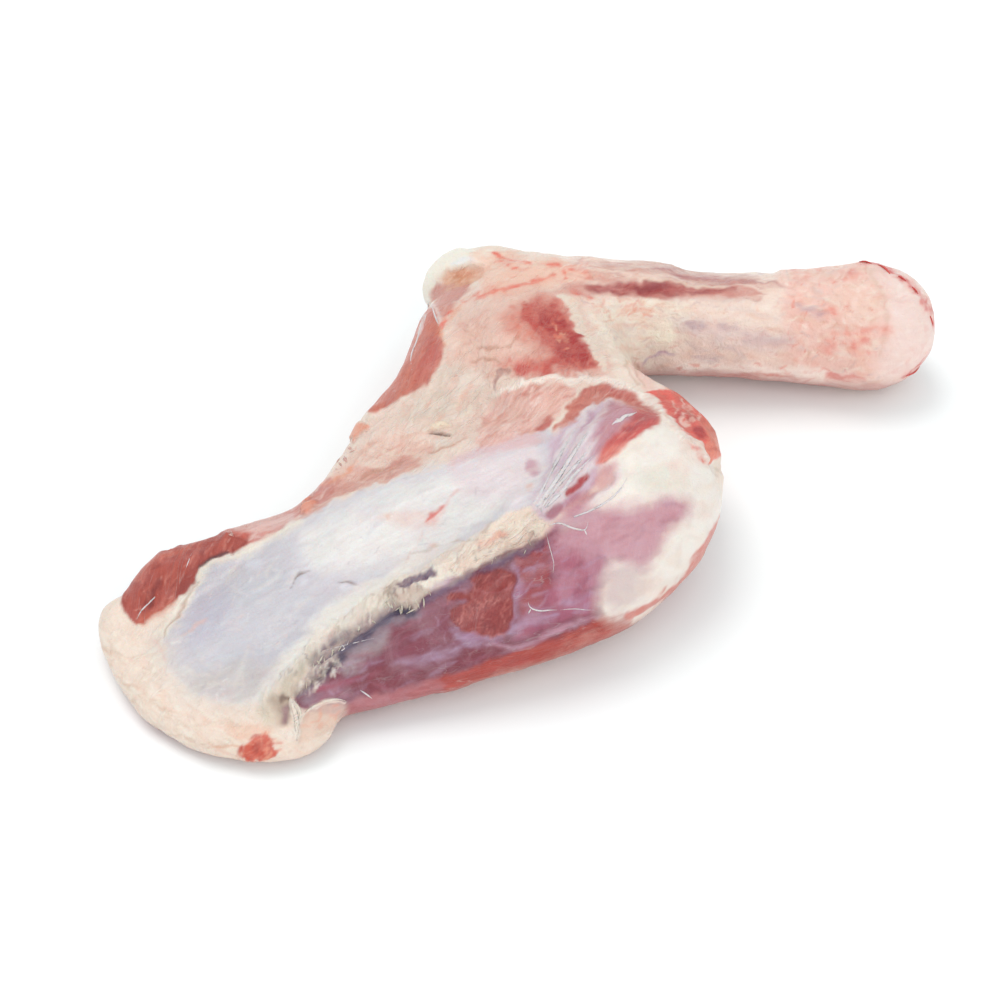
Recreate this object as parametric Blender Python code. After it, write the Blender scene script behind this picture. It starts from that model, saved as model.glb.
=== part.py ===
"""Raw veal shoulder with its shank, lying on its inner side: one solid of meat, fat, sinew and bone.

The joint is laid out on a plan PLAN_LENGTH units long, seen from above: X runs along the shank, Y from
the brisket side to the elbow side, and Z up from the table. OVERALL_LENGTH sets its real size.
"""

import math

import bmesh
import bpy
from mathutils import Matrix, Vector, noise

NODE_NAME = "veal_shoulder"

# The real length from the blade's cartilage edge to the cut knee, in metres.
OVERALL_LENGTH = 0.56
PLAN_LENGTH = 529.0
UNIT = OVERALL_LENGTH / PLAN_LENGTH

# Each belly is a muscle, a bone end or a pad of fat: stations of (x, y, z, half width, half height)
# that a smooth tube runs through. Half width lies in the plan, across the belly, and half height up.
BELLIES = {
    # The shoulder blade with the thin muscle under it, from its cartilage edge to the joint.
    "blade_far": [(-214, -130, 13, 20, 13), (-190, -116, 16, 34, 16), (-140, -88, 20, 38, 20),
                  (-80, -56, 26, 44, 26), (-20, -18, 32, 48, 32), (30, 4, 38, 44, 38)],
    "blade_near": [(-176, -185, 12, 24, 12), (-146, -171, 15, 38, 15), (-96, -145, 20, 44, 20),
                   (-40, -115, 27, 48, 27), (20, -87, 34, 49, 34), (66, -56, 40, 47, 40)],
    "blade_edge": [(-227, -121, 16, 14, 14), (-218, -144, 13, 18, 12), (-195, -172, 11, 21, 11),
                   (-162, -198, 11, 21, 11), (-130, -203, 12, 21, 12), (-108, -193, 14, 17, 13)],
    # The broad outer muscle under the silver skin.
    "infraspinatus": [(-184, -156, 18, 44, 14), (-140, -128, 28, 52, 21), (-90, -98, 39, 52, 28),
                      (-35, -68, 51, 46, 33), (20, -40, 61, 40, 33), (62, -20, 63, 30, 29)],
    # The muscle in front of the spine, on the near side.
    "supraspinatus": [(-84, -172, 20, 18, 16), (-45, -152, 28, 29, 26), (8, -129, 38, 34, 35),
                      (56, -102, 46, 39, 43), (89, -69, 52, 38, 47), (104, -38, 54, 33, 44)],
    "joint": [(62, -52, 57, 43, 46), (84, -40, 59, 46, 46), (99, -24, 56, 37, 43)],
    "spine": [(-126, -194, 22, 13, 10), (-100, -176, 34, 15, 12), (-60, -148, 48, 16, 13),
              (-20, -120, 61, 17, 14), (18, -92, 72, 20, 16), (52, -72, 74, 24, 20)],
    # The cut muscle behind the blade.
    "teres": [(-208, -112, 28, 15, 18), (-190, -98, 34, 18, 20), (-162, -81, 34, 16, 18),
              (-132, -63, 32, 12, 15)],
    # The heads of the triceps, between the blade and the elbow.
    "triceps_long": [(-17, 127, 49, 26, 31), (-28, 93, 48, 27, 35), (-35, 56, 46, 28, 37),
                     (-61, 4, 41, 29, 33), (-105, -59, 32, 23, 25), (-150, -90, 26, 19, 19),
                     (-186, -108, 22, 13, 15)],
    "triceps_deep": [(-6, 108, 46, 42, 38), (-14, 62, 44, 44, 40), (-26, 10, 42, 44, 38),
                     (-70, -36, 38, 42, 32)],
    "triceps_lateral": [(6, 120, 50, 37, 38), (10, 86, 54, 42, 43), (14, 46, 56, 42, 43),
                        (34, 6, 60, 36, 37)],
    # The upper arm's muscles inside the bend, the pad over them and the cut end of the neck muscle.
    "brachialis": [(50, 104, 44, 35, 39), (54, 66, 46, 30, 40), (67, 30, 50, 29, 40),
                   (82, 4, 52, 28, 36)],
    "elbow_pad": [(34, 112, 54, 26, 32), (40, 74, 56, 26, 33), (50, 36, 58, 26, 33)],
    "neck_muscle_end": [(78, 24, 54, 18, 26), (100, 10, 55, 21, 28), (116, -10, 52, 21, 28)],
    # The leg below: the point of the elbow, and the shank out to the knee's wider end.
    "elbow_point": [(-28, 151, 52, 24, 24), (-8, 147, 56, 26, 28), (20, 136, 56, 28, 30)],
    "shank": [(10, 124, 50, 39, 41), (50, 126, 47, 37, 41), (100, 127, 44, 35, 39),
              (150, 126, 41, 35, 37), (195, 124, 41, 35, 38), (228, 122, 41, 38, 42),
              (248, 120, 41, 40, 44)],
}
RING_POINTS = 28
STEPS_BETWEEN_STATIONS = 6

# A belly's rounded end: its rings, and the part of a ring step by which the last stops short of a point.
CAP_RINGS = 5
CAP_TIP = 0.4

# How the bellies fuse into one body. Lengths are plan units.
VOXEL = 3.6
SOFTENING_PASSES = 26
SOFTENING_SHARE = 0.5
SWELL_AFTER_SOFTENING = 1.2

# Raised and sunk lines of the upper face: (places in plan, half width, height).
RELIEF = {
    "spine": ([(-124, -194), (-100, -178), (-60, -150), (-20, -122), (12, -98)], 10, 5),
    "groove_under_spine": ([(-98, -198), (-78, -184), (-42, -160), (-4, -134), (22, -114)], 10, -5),
    "spine_end": ([(8, -96), (30, -88)], 15, 5),
    "edge_of_silver_skin": ([(-196, -118), (-160, -96), (-110, -60), (-50, -24), (-10, 2)], 11, -2.5),
    "neck_muscle_edge": ([(92, -10), (104, -26), (118, -40)], 8, -4),
    "elbow_hollow": ([(-22, 130), (-6, 135)], 13, -6),
    "fat_knob": ([(-86, 15), (-81, 10)], 8, 6),
    "knee_corner": ([(272, 158), (292, 138)], 18, -7),
    "shank_groove": ([(50, 142), (90, 144), (130, 143), (165, 141)], 9, -3),
    "silver_skin_fold": ([(-60, -82), (-20, -72), (16, -66)], 7, 2),
    "tendon_rays": ([(34, -78), (52, -52), (74, -24)], 8, 3),
    "knee_ridge": ([(222, 112), (236, 126), (240, 142)], 8, 2),
}

# The lines fade on skin whose upright part is under FULL_RELIEF_SLOPE, and swell and thin along their run.
FULL_RELIEF_SLOPE = 0.5
SWELL_SIZE = 14.0
SWELL_SHARE = 0.45

# Lumps all over the skin: (size, height).
LUMPS = ((46.0, 2.4), (19.0, 1.1))

TRIANGLES = 9000

# Skin nearer the table than this lies flat on it, in plan units.
FLAT_WITHIN = 0.5

MEAT_COLOUR = (0.72, 0.40, 0.35, 1.0)
MEAT_ROUGHNESS = 0.42


def clear_scene():
    for old in list(bpy.data.objects):
        bpy.data.objects.remove(old)


def catmull_rom(before, start, end, after, share):
    """A value on the smooth curve through four values in a row, between start and end."""
    return 0.5 * (
        2 * start
        + (end - before) * share
        + (2 * before - 5 * start + 4 * end - after) * share**2
        + (3 * start - before - 3 * end + after) * share**3
    )


def smooth_path(stations):
    """The stations with smooth ones put in between."""
    padded = [stations[0], *stations, stations[-1]]
    smooth = []
    for before, start, end, after in zip(padded, padded[1:], padded[2:], padded[3:]):
        for step in range(STEPS_BETWEEN_STATIONS):
            share = step / STEPS_BETWEEN_STATIONS
            smooth.append([catmull_rom(*four, share) for four in zip(before, start, end, after)])
    smooth.append(list(stations[-1]))
    return smooth


def dome(station, outward):
    """Stations that close an end as a quarter of an ellipse."""
    x, y, z, half_width, half_height = station
    depth = min(half_width, half_height)
    made = []
    for ring in range(1, CAP_RINGS + 1):
        angle = 0.5 * math.pi * ring / (CAP_RINGS + CAP_TIP)
        centre = Vector((x, y, z)) + outward * depth * math.sin(angle)
        made.append([*centre, half_width * math.cos(angle), half_height * math.cos(angle)])
    return made


def rounded_ends(stations):
    """The stations with a dome of shrinking ones added past each end."""
    first, second = Vector(stations[0][:3]), Vector(stations[1][:3])
    last, last_but_one = Vector(stations[-1][:3]), Vector(stations[-2][:3])
    start_dome = dome(stations[0], (first - second).normalized())
    end_dome = dome(stations[-1], (last - last_but_one).normalized())
    return [*reversed(start_dome), *stations, *end_dome]


def add_ring(mesh, station, along):
    """An oval of new vertices round a station, standing across the belly's run."""
    x, y, z, half_width, half_height = station
    across = Vector((-along.y, along.x, 0))
    ring = []
    for point in range(RING_POINTS):
        angle = 2 * math.pi * point / RING_POINTS
        place = Vector((x, y, z)) + across * half_width * math.cos(angle)
        place.z += half_height * math.sin(angle)
        ring.append(mesh.verts.new(place * UNIT))
    return ring


def add_belly(mesh, stations):
    """Adds a closed tube of oval rings through the stations to the bmesh."""
    stations = rounded_ends(smooth_path(stations))
    rings = []
    for index, station in enumerate(stations):
        ahead = stations[min(index + 1, len(stations) - 1)]
        behind = stations[max(index - 1, 0)]
        along = Vector((ahead[0] - behind[0], ahead[1] - behind[1], 0)).normalized()
        rings.append(add_ring(mesh, station, along))
    for ring, following in zip(rings, rings[1:]):
        for point in range(RING_POINTS):
            after = (point + 1) % RING_POINTS
            mesh.faces.new((ring[point], following[point], following[after], ring[after]))
    mesh.faces.new(rings[0])
    mesh.faces.new(list(reversed(rings[-1])))


def apply_modifiers(body):
    graph = bpy.context.evaluated_depsgraph_get()
    made = bpy.data.meshes.new_from_object(body.evaluated_get(graph))
    body.modifiers.clear()
    body.data = made


def fused_body():
    """All the bellies joined into one skin, with the creases between them softened."""
    mesh = bmesh.new()
    for stations in BELLIES.values():
        add_belly(mesh, stations)
    bmesh.ops.recalc_face_normals(mesh, faces=mesh.faces)
    data = bpy.data.meshes.new(NODE_NAME)
    mesh.to_mesh(data)
    mesh.free()
    body = bpy.data.objects.new(NODE_NAME, data)
    bpy.context.scene.collection.objects.link(body)
    fuse = body.modifiers.new("fuse", "REMESH")
    fuse.mode = "VOXEL"
    fuse.voxel_size = VOXEL * UNIT
    soften = body.modifiers.new("soften", "SMOOTH")
    soften.factor = SOFTENING_SHARE
    soften.iterations = SOFTENING_PASSES
    apply_modifiers(body)
    return body


def distance_to_line(place, line):
    """The plan distance from a place to a line through points."""
    nearest = math.inf
    for start, end in zip(line, line[1:]):
        run = end - start
        share = (place - start).dot(run) / run.length_squared
        nearest = min(nearest, (start + run * min(max(share, 0), 1) - place).length)
    return nearest


def relief_height(place, lines):
    """How far the upper face stands out at a place, from the raised and sunk lines."""
    total = 0.0
    for line, half_width, height in lines:
        total += height * math.exp(-((distance_to_line(place.xy, line) / half_width) ** 2))
    return total * (1 + SWELL_SHARE * noise.noise(place / SWELL_SIZE))


def lump_height(place):
    return sum(height * noise.noise(place / size) for size, height in LUMPS)


def add_relief(body):
    """Lumps all over the skin, and the lines of the upper face pushed straight up or down."""
    lines = [([Vector(place) for place in line], *sizes) for line, *sizes in RELIEF.values()]
    mesh = body.data
    normals = [vertex.normal.copy() for vertex in mesh.vertices]
    for vertex, normal in zip(mesh.vertices, normals):
        place = vertex.co / UNIT
        vertex.co += normal * (SWELL_AFTER_SOFTENING + lump_height(place)) * UNIT
        if normal.z > 0:
            fade = min(1.0, normal.z / FULL_RELIEF_SLOPE)
            vertex.co.z += fade * relief_height(place, lines) * UNIT


def press_on_table(body):
    """What would lie on or below the table is pressed flat on it."""
    for vertex in body.data.vertices:
        if vertex.co.z < FLAT_WITHIN * UNIT:
            vertex.co.z = 0.0


def thin_out(body):
    """Leaves out the triangles that the shape needs least."""
    thin = body.modifiers.new("thin", "DECIMATE")
    thin.ratio = TRIANGLES / sum(len(face.vertices) - 2 for face in body.data.polygons)
    apply_modifiers(body)


def centre_over_origin(body):
    """Puts the origin on the table, under the middle of the body's box."""
    corners = [vertex.co for vertex in body.data.vertices]
    middle_x = (min(c.x for c in corners) + max(c.x for c in corners)) / 2
    middle_y = (min(c.y for c in corners) + max(c.y for c in corners)) / 2
    body.data.transform(Matrix.Translation((-middle_x, -middle_y, 0)))
    print("plan origin moved by", round(-middle_x / UNIT, 1), round(-middle_y / UNIT, 1), "units")


def coat(body):
    """One plain meat colour, shaded smooth."""
    meat = bpy.data.materials.new("raw_veal")
    meat.use_nodes = True
    shader = meat.node_tree.nodes["Principled BSDF"]
    shader.inputs["Base Color"].default_value = MEAT_COLOUR
    shader.inputs["Roughness"].default_value = MEAT_ROUGHNESS
    shader.inputs["Metallic"].default_value = 0.0
    body.data.materials.clear()
    body.data.materials.append(meat)
    body.data.shade_smooth()


def main():
    clear_scene()
    body = fused_body()
    add_relief(body)
    press_on_table(body)
    thin_out(body)
    press_on_table(body)
    centre_over_origin(body)
    coat(body)
    print(len(body.data.polygons), "triangles", [round(v, 4) for v in body.dimensions])


main()
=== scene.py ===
# %% [markdown]
# A raw veal shoulder with its shank lies on its inner side. It is one piece of meat, so the CAD model is
# one plain solid. This lesson dresses that solid: it copies it, gives the copy a finer mesh, carves the
# seams between the muscles, paints every muscle, fat pad and sinew, and lays loose strands on top.

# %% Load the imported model
import itertools
import math

import bmesh
import bpy
import numpy as np
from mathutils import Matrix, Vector
from mathutils.bvhtree import BVHTree


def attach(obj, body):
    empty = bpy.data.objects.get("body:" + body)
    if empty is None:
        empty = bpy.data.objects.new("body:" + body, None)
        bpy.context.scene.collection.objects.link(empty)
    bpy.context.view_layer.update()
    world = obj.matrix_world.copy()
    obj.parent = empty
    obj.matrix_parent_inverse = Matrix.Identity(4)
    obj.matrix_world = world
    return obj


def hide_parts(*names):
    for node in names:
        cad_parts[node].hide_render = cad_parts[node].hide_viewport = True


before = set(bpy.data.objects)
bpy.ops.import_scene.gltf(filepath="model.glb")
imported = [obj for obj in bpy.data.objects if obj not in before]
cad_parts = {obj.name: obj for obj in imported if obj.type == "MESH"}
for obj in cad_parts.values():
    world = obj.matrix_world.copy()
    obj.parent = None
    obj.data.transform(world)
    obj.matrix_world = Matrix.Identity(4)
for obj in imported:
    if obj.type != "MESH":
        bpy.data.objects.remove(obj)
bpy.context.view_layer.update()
NODE = "veal_shoulder"

# %% [markdown]
# Colours and seams are easiest to place as seen from the camera, so the camera comes first. It looks
# along +Y from 45 degrees above the table with a long lens, which keeps the shank from shrinking with
# distance. PIXELS is the picture's width, and SHARP is the lens's focal length in pixels.

# %% The camera, and how a point meets a pixel
MM = 0.001
PIXELS = 1000
LENS_MM = 90.0
SENSOR_MM = 36.0
SHARP = LENS_MM / SENSOR_MM * PIXELS
CAMERA_DISTANCE = 1.6938
CAMERA_ELEVATION = math.radians(45)
LOOKED_AT = np.array([-0.02435, 0.02519, 0.0])

forward = np.array([0.0, math.cos(CAMERA_ELEVATION), -math.sin(CAMERA_ELEVATION)])
upward = np.array([0.0, math.sin(CAMERA_ELEVATION), math.cos(CAMERA_ELEVATION)])
eye = LOOKED_AT - forward * CAMERA_DISTANCE


def pixels_of(points):
    """Where points fall in the picture, as an array of (x to the right, y down)."""
    away = points - eye
    depth = away @ forward
    x = PIXELS / 2 + SHARP * away[:, 0] / depth
    y = PIXELS / 2 - SHARP * (away @ upward) / depth
    return np.stack([x, y], axis=1)


camera = bpy.data.objects.new("camera", bpy.data.cameras.new("camera"))
camera.data.lens = LENS_MM
camera.data.sensor_width = SENSOR_MM
camera.location = eye
camera.rotation_euler = Vector(forward).to_track_quat("-Z", "Y").to_euler()
bpy.context.scene.collection.objects.link(camera)
bpy.context.scene.camera = camera
print("camera at", [round(value, 3) for value in eye])

# %% [markdown]
# The light is that of a white studio table: a bright even sky, a soft key light up on the far left,
# whose shadow falls to the near right, and a weak fill from the near right, which keeps the shaded sides
# open. Suns light everything evenly, and a wide angle makes their shadows soft. The floor is plain white.
# Pink light from the meat falls into its shadow, which is a neutral grey in the photo. So the sky, which
# lights the shadow, is a little cool, and the suns are warm enough to keep the lit table white.

# %% The table and the lights
SKY_STRENGTH = 0.9
SKY_COLOUR = (0.85, 0.98, 1.0)
SUN_COLOUR = (1.0, 0.9, 0.88)
SUNS = {
    "key": {"strength": 1.06, "comes_from": (-0.36, 0.3, 1.0), "angle": math.radians(38)},
    "fill": {"strength": 1.15, "comes_from": (0.5, -1.0, 0.45), "angle": math.radians(80)},
}


def plain_material(name, colour, roughness):
    """A material with one colour and one roughness."""
    made = bpy.data.materials.new(name)
    made.use_nodes = True
    shader = made.node_tree.nodes["Principled BSDF"]
    shader.inputs["Base Color"].default_value = (*colour, 1)
    shader.inputs["Roughness"].default_value = roughness
    return made


FLOOR_REACH = 6.0
FLOOR_HEIGHT = -0.0002
TABLE_WHITE = (0.93, 0.93, 0.93)
TABLE_ROUGHNESS = 0.9
FLOOR_CORNERS = [(-1, -1), (1, -1), (1, 1), (-1, 1)]
floor_mesh = bpy.data.meshes.new("floor")
floor_mesh.from_pydata([(x * FLOOR_REACH, y * FLOOR_REACH, FLOOR_HEIGHT) for x, y in FLOOR_CORNERS], [],
                       [(0, 1, 2, 3)])
floor = bpy.data.objects.new("floor", floor_mesh)
floor.data.materials.append(plain_material("white_table", TABLE_WHITE, TABLE_ROUGHNESS))
bpy.context.scene.collection.objects.link(floor)

sky = bpy.data.worlds.new("sky")
sky.use_nodes = True
sky.node_tree.nodes["Background"].inputs["Color"].default_value = (*SKY_COLOUR, 1)
sky.node_tree.nodes["Background"].inputs["Strength"].default_value = SKY_STRENGTH
bpy.context.scene.world = sky

for name, sun in SUNS.items():
    light = bpy.data.lights.new(name, "SUN")
    light.energy = sun["strength"]
    light.color = SUN_COLOUR
    light.angle = sun["angle"]
    lamp = bpy.data.objects.new(name, light)
    lamp.rotation_euler = Vector(sun["comes_from"]).to_track_quat("Z", "Y").to_euler()
    bpy.context.scene.collection.objects.link(lamp)
bpy.context.scene.view_settings.view_transform = "Standard"
print("lights set")

# %% [markdown]
# The skin of the meat has detail down to a millimetre or two, and that relief is put into the mesh. One way
# to get it is a displacement texture, but that isn't kept when a model is exported, so the relief has to be
# in the mesh. The solid is remeshed into even squares, and only the side that faces up or towards the
# camera is split finer.

# %% A fine mesh over the solid
COARSE_SQUARE = 0.0024
REMESH_SMOOTHING = 6
FACING_CAMERA = 0.06
SMOOTHING_ROUNDS = 2
ROUND_STRENGTH = 0.5


def applied(thing):
    """The thing with its modifiers worked into its mesh."""
    graph = bpy.context.evaluated_depsgraph_get()
    made = bpy.data.meshes.new_from_object(thing.evaluated_get(graph))
    thing.modifiers.clear()
    thing.data = made
    return thing


meat = bpy.data.objects.new("meat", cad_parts[NODE].data.copy())
bpy.context.scene.collection.objects.link(meat)
remesh = meat.modifiers.new("even squares", "REMESH")
remesh.mode = "VOXEL"
remesh.voxel_size = COARSE_SQUARE
smooth = meat.modifiers.new("smooth facets", "SMOOTH")
smooth.iterations = REMESH_SMOOTHING
applied(meat)

work = bmesh.new()
work.from_mesh(meat.data)
toward_eye = Vector(-forward)
facing = [face for face in work.faces if face.normal.dot(toward_eye) > FACING_CAMERA]
edges = list({edge for face in facing for edge in face.edges})
bmesh.ops.subdivide_edges(work, edges=edges, cuts=1, use_grid_fill=True)
bmesh.ops.triangulate(work, faces=[face for face in work.faces if len(face.verts) > 4])
for _ in range(SMOOTHING_ROUNDS):
    bmesh.ops.smooth_vert(work, verts=work.verts, factor=ROUND_STRENGTH, use_axis_x=True, use_axis_y=True,
                          use_axis_z=True)
work.to_mesh(meat.data)
work.free()
triangles = sum(len(face.vertices) - 2 for face in meat.data.polygons)
print("meat:", len(meat.data.vertices), "points,", triangles, "triangles")

# %% [markdown]
# Everything after this is worked out for all points of the mesh at once, in arrays. The first helpers
# are smooth noise and a soft step.

# %% Noise for all points at once
HASH_PRIMES = np.array([73856093, 19349663, 83492791])
HASH_SHIFT = 13
HASH_FACTOR = 1274126177
HASH_MASK = 0x7FFFFFFF
HASH_MIDDLE = 0x3FFFFFFF
SEED_SHIFT = 7.31
ROUGH_OCTAVES = 3
ROUGH_TOTAL = 1.4


def noise_at(places, size, seed=0):
    """Smooth noise from -1 to 1, whose lumps are size wide."""
    scaled = places / size + seed * SEED_SHIFT
    cell = np.floor(scaled).astype(np.int64)
    share = scaled - cell
    share = share * share * (3 - 2 * share)
    total = np.zeros(len(places))
    for corner in itertools.product((0, 1), repeat=places.shape[1]):
        mixed = (cell + corner) * HASH_PRIMES[:places.shape[1]]
        key = np.bitwise_xor.reduce(mixed, axis=1)
        key = ((key ^ (key >> HASH_SHIFT)) * HASH_FACTOR) & HASH_MASK
        weight = np.prod(np.where(np.array(corner) == 1, share, 1 - share), axis=1)
        total += weight * (key / HASH_MIDDLE - 1)
    return total


def rough_noise(places, size, seed=0):
    """Noise with two finer sizes added."""
    octaves = (noise_at(places, size / 2**step, seed + step) / 2**step for step in range(ROUGH_OCTAVES))
    return sum(octaves) / ROUGH_TOTAL


def soft_step(value):
    """0 below 0, 1 above 1, and smooth in between."""
    value = np.clip(value, 0, 1)
    return value * value * (3 - 2 * value)



print("noise ready")

# %% [markdown]
# An outline has only a few points, and a smooth curve is run through them. Then each point of the mesh
# is asked how far inside the outline it is, or how far from a line.

# %% Curves and distances
TINY = 1e-9


def rounded(points, closed, steps=4):
    """A smooth curve through a few points."""
    points = np.array(points, float)
    if closed:
        padded = np.vstack([points[-1], points, points[:2]])
    else:
        padded = np.vstack([points[0], points, points[-1]])
    share = np.arange(steps)[:, None] / steps
    pieces = []
    for before, start, end, after in zip(padded, padded[1:], padded[2:], padded[3:]):
        pieces.append(0.5 * (2 * start + (end - before) * share
                             + (2 * before - 5 * start + 4 * end - after) * share**2
                             + (3 * start - before - 3 * end + after) * share**3))
    if not closed:
        pieces.append(points[-1:])
    return np.vstack(pieces)


def distance_inside(places, corners):
    """How far each place is inside a closed outline, or below 0 outside it."""
    nearest = np.full(len(places), np.inf)
    inside = np.zeros(len(places), bool)
    for start, end in zip(corners, np.roll(corners, -1, axis=0)):
        run = end - start
        away = places - start
        share = np.clip(away @ run / max(run @ run, TINY), 0, 1)
        nearest = np.minimum(nearest, np.hypot(*(away - share[:, None] * run).T))
        if start[1] != end[1]:
            crosses = (start[1] > places[:, 1]) != (end[1] > places[:, 1])
            reach = start[0] + run[0] * (places[:, 1] - start[1]) / run[1]
            inside ^= crosses & (places[:, 0] < reach)
    return np.where(inside, nearest, -nearest)


def distance_from(places, corners):
    """How far each place is from a line, and where along it the nearest point is, from 0 to 1."""
    nearest = np.full(len(places), np.inf)
    along = np.zeros(len(places))
    for step, (start, end) in enumerate(zip(corners, corners[1:])):
        run = end - start
        away = places - start
        share = np.clip(away @ run / max(run @ run, TINY), 0, 1)
        distance = np.hypot(*(away - share[:, None] * run).T)
        closer = distance < nearest
        nearest = np.where(closer, distance, nearest)
        along = np.where(closer, step + share, along)
    return nearest, along / (len(corners) - 1)


print("curves ready")

# %% [markdown]
# The palette is what a butcher sees: ivory fat, peach fat, blue-grey silver skin, and muscle from pale
# salmon to deep red. The colours are written as they look on a screen and turned into light values. The
# lights together are a little brighter than white, and the film on wet meat greys it, so the surface's
# own colours are made that much darker and richer. Only the colours that several steps share have names.

# %% The palette
OWN_BRIGHTNESS = 0.88
OWN_RICHNESS = 1.12


def screen(red, green, blue):
    """A screen colour from 0 to 255 as linear light, by the sRGB curve."""
    shown = np.array([red, green, blue]) / 255
    light = np.where(shown <= 0.04045, shown / 12.92, ((shown + 0.055) / 1.055) ** 2.4)
    return OWN_BRIGHTNESS * light**OWN_RICHNESS


CREAM = (240, 223, 209)
PEACH = (238, 204, 190)
PEARL = (238, 233, 229)
SILVER = (216, 211, 216)
LILAC = (224, 205, 216)
SALMON = (226, 166, 148)
PLUM = (138, 68, 86)
MAUVE = (184, 112, 132)
BLOOD = (224, 62, 40)
print("palette ready")

# %% [markdown]
# Painting in code works like painting by hand: one layer after another, each with an outline, a colour,
# a soft or ragged edge and a strength. The same layers carve the relief, so colour and shape always
# agree. Beside colour, a layer says which way its muscle fibres run and how fatty, veiled or bloody
# the surface is. Those numbers are kept on the points, and the material reads them.

# %% The layers' store
places = np.array([vertex.co for vertex in meat.data.vertices])
normals = np.array([vertex.normal for vertex in meat.data.vertices])
picture = pixels_of(places)
PIXEL = CAMERA_DISTANCE / SHARP

# No edge on meat is a clean curve, so all outlines are read through a little noise of two sizes.
WAVERS = {0.009: 2.2, 0.0036: 1.6}
WAVER_SEEDS = (60, 70)
for number, (size, reach) in enumerate(WAVERS.items()):
    picture += reach * np.stack([noise_at(places, size, seed + number) for seed in WAVER_SEEDS], axis=1)

# Each point's colour, fibre runs (along the blade, the shank, the arm and the fan) and finish
# (veiled, fatty, bloody, wrinkled). The steep runs go up slopes, so height counts as length there.
RUNS = {"blade": 0, "shank": 1, "arm": 2, "fan": 3}
ANGLES = {"blade": math.radians(26), "shank": 0.0, "arm": math.radians(78), "fan": math.radians(58)}
STEEP_RUNS = ("arm", "fan")
FINISHES = {"veil": 0, "fat": 1, "blood": 2, "wrinkle": 3}
START = {"fat": 0.5, "wrinkle": 0.35}
tint = np.tile(screen(*CREAM), (len(places), 1))
runs = np.zeros((len(places), len(RUNS)))
finish = np.zeros((len(places), len(FINISHES)))
for name, amount in START.items():
    finish[:, FINISHES[name]] = amount
raised = np.zeros(len(places))
laid = []
print("store ready for", len(places), "points")

# %% [markdown]
# The brush looks only at the points near its outline, so that hundreds of layers take seconds. Torn edges
# follow the fibres, so the noise that makes them ragged is stretched the same way, and so are the holes.

# %% The brush
RAGGED_STRETCH = 3.0
SPARE_PX = 4
HOLE_SEED = 500
HOLE_CONTRAST = 1.3
from_left = np.argsort(picture[:, 0])
lefts = picture[from_left, 0]


def stretched(points, run):
    """The points squeezed along a fibre run, so that noise on them comes out in streaks."""
    angle = ANGLES[run]
    along = points[:, 0] * math.cos(angle) + points[:, 1] * math.sin(angle)
    across = points[:, 1] * math.cos(angle) - points[:, 0] * math.sin(angle)
    height = points[:, 2] / (RAGGED_STRETCH if run in STEEP_RUNS else 1)
    return np.stack([along / RAGGED_STRETCH, across, height], axis=1)


def brush(colour, outline=None, line=None, width=6, soft=5, ragged=2.0, ragged_size=9, strength=1.0,
          pointed=1.0, patchy=0.0, patch_size=14, rise=0.0, run=None, grain=0.0, edge_run="blade",
          **finishes):
    """Lays one layer inside an outline or along a line.

    The colour is a screen colour, or None for a layer that only rises or sinks. Outlines, widths, edges and
    sizes are in pixels, and rise is in millimetres. A line's width narrows towards its ends by the share
    that pointed gives, and patchy is how much of the layer its holes take away.
    """
    curve = rounded(outline if outline is not None else line, closed=outline is not None)
    margin = width + soft + ragged + SPARE_PX
    low, high = curve.min(axis=0) - margin, curve.max(axis=0) + margin
    first, last = np.searchsorted(lefts, (low[0], high[0]))
    where = from_left[first:last]
    where = where[(picture[where, 1] > low[1]) & (picture[where, 1] < high[1])]
    if outline is None:
        distance, along = distance_from(picture[where], curve)
        narrowing = 1 - pointed + pointed * np.sqrt(np.sin(np.pi * along).clip(0, 1))
        reach = width / 2 * narrowing - distance
    else:
        reach = distance_inside(picture[where], curve)
    streaks = stretched(places[where], run or edge_run)
    reach = reach + ragged * rough_noise(streaks, ragged_size * PIXEL, len(laid))
    mask = soft_step(reach / soft + 0.5) * strength
    if patchy:
        blotches = rough_noise(streaks, patch_size * PIXEL, len(laid) + HOLE_SEED)
        holes = soft_step(0.5 + HOLE_CONTRAST * blotches)
        mask = mask * (1 - patchy * holes)
    if colour is not None:
        tint[where] += (screen(*colour) - tint[where]) * mask[:, None]
    raised[where] += rise * MM * mask
    if run is not None:
        wanted = np.zeros(len(RUNS))
        wanted[RUNS[run]] = grain
        runs[where] += (wanted - runs[where]) * mask[:, None]
    for name, amount in finishes.items():
        column = FINISHES[name]
        finish[where, column] += (amount - finish[where, column]) * mask
    laid.append(len(where))


def brush_each(colour, lines, **settings):
    """Lays the same kind of layer along each of several named lines."""
    for line in lines.values():
        brush(colour, line=line, **settings)


print("brush ready")

# %% [markdown]
# Real meat is never one flat colour. Over each field go many short strokes, drawn by chance from a
# seeded source: each picks one of a few colours, a length, a turn and a small rise or dent.

# %% Strokes by chance
STROKE_SEED = 11
SPOTS_TRIED = 4
STROKE_HALVES = (0.25, 0.7)
STROKE_BEND = 0.07
STROKE_WIDTHS = (0.3, 1.2)
STROKE_STRENGTHS = (0.4, 1.0)
STROKE_RAGGED = 0.4
chance = np.random.default_rng(STROKE_SEED)


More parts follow.
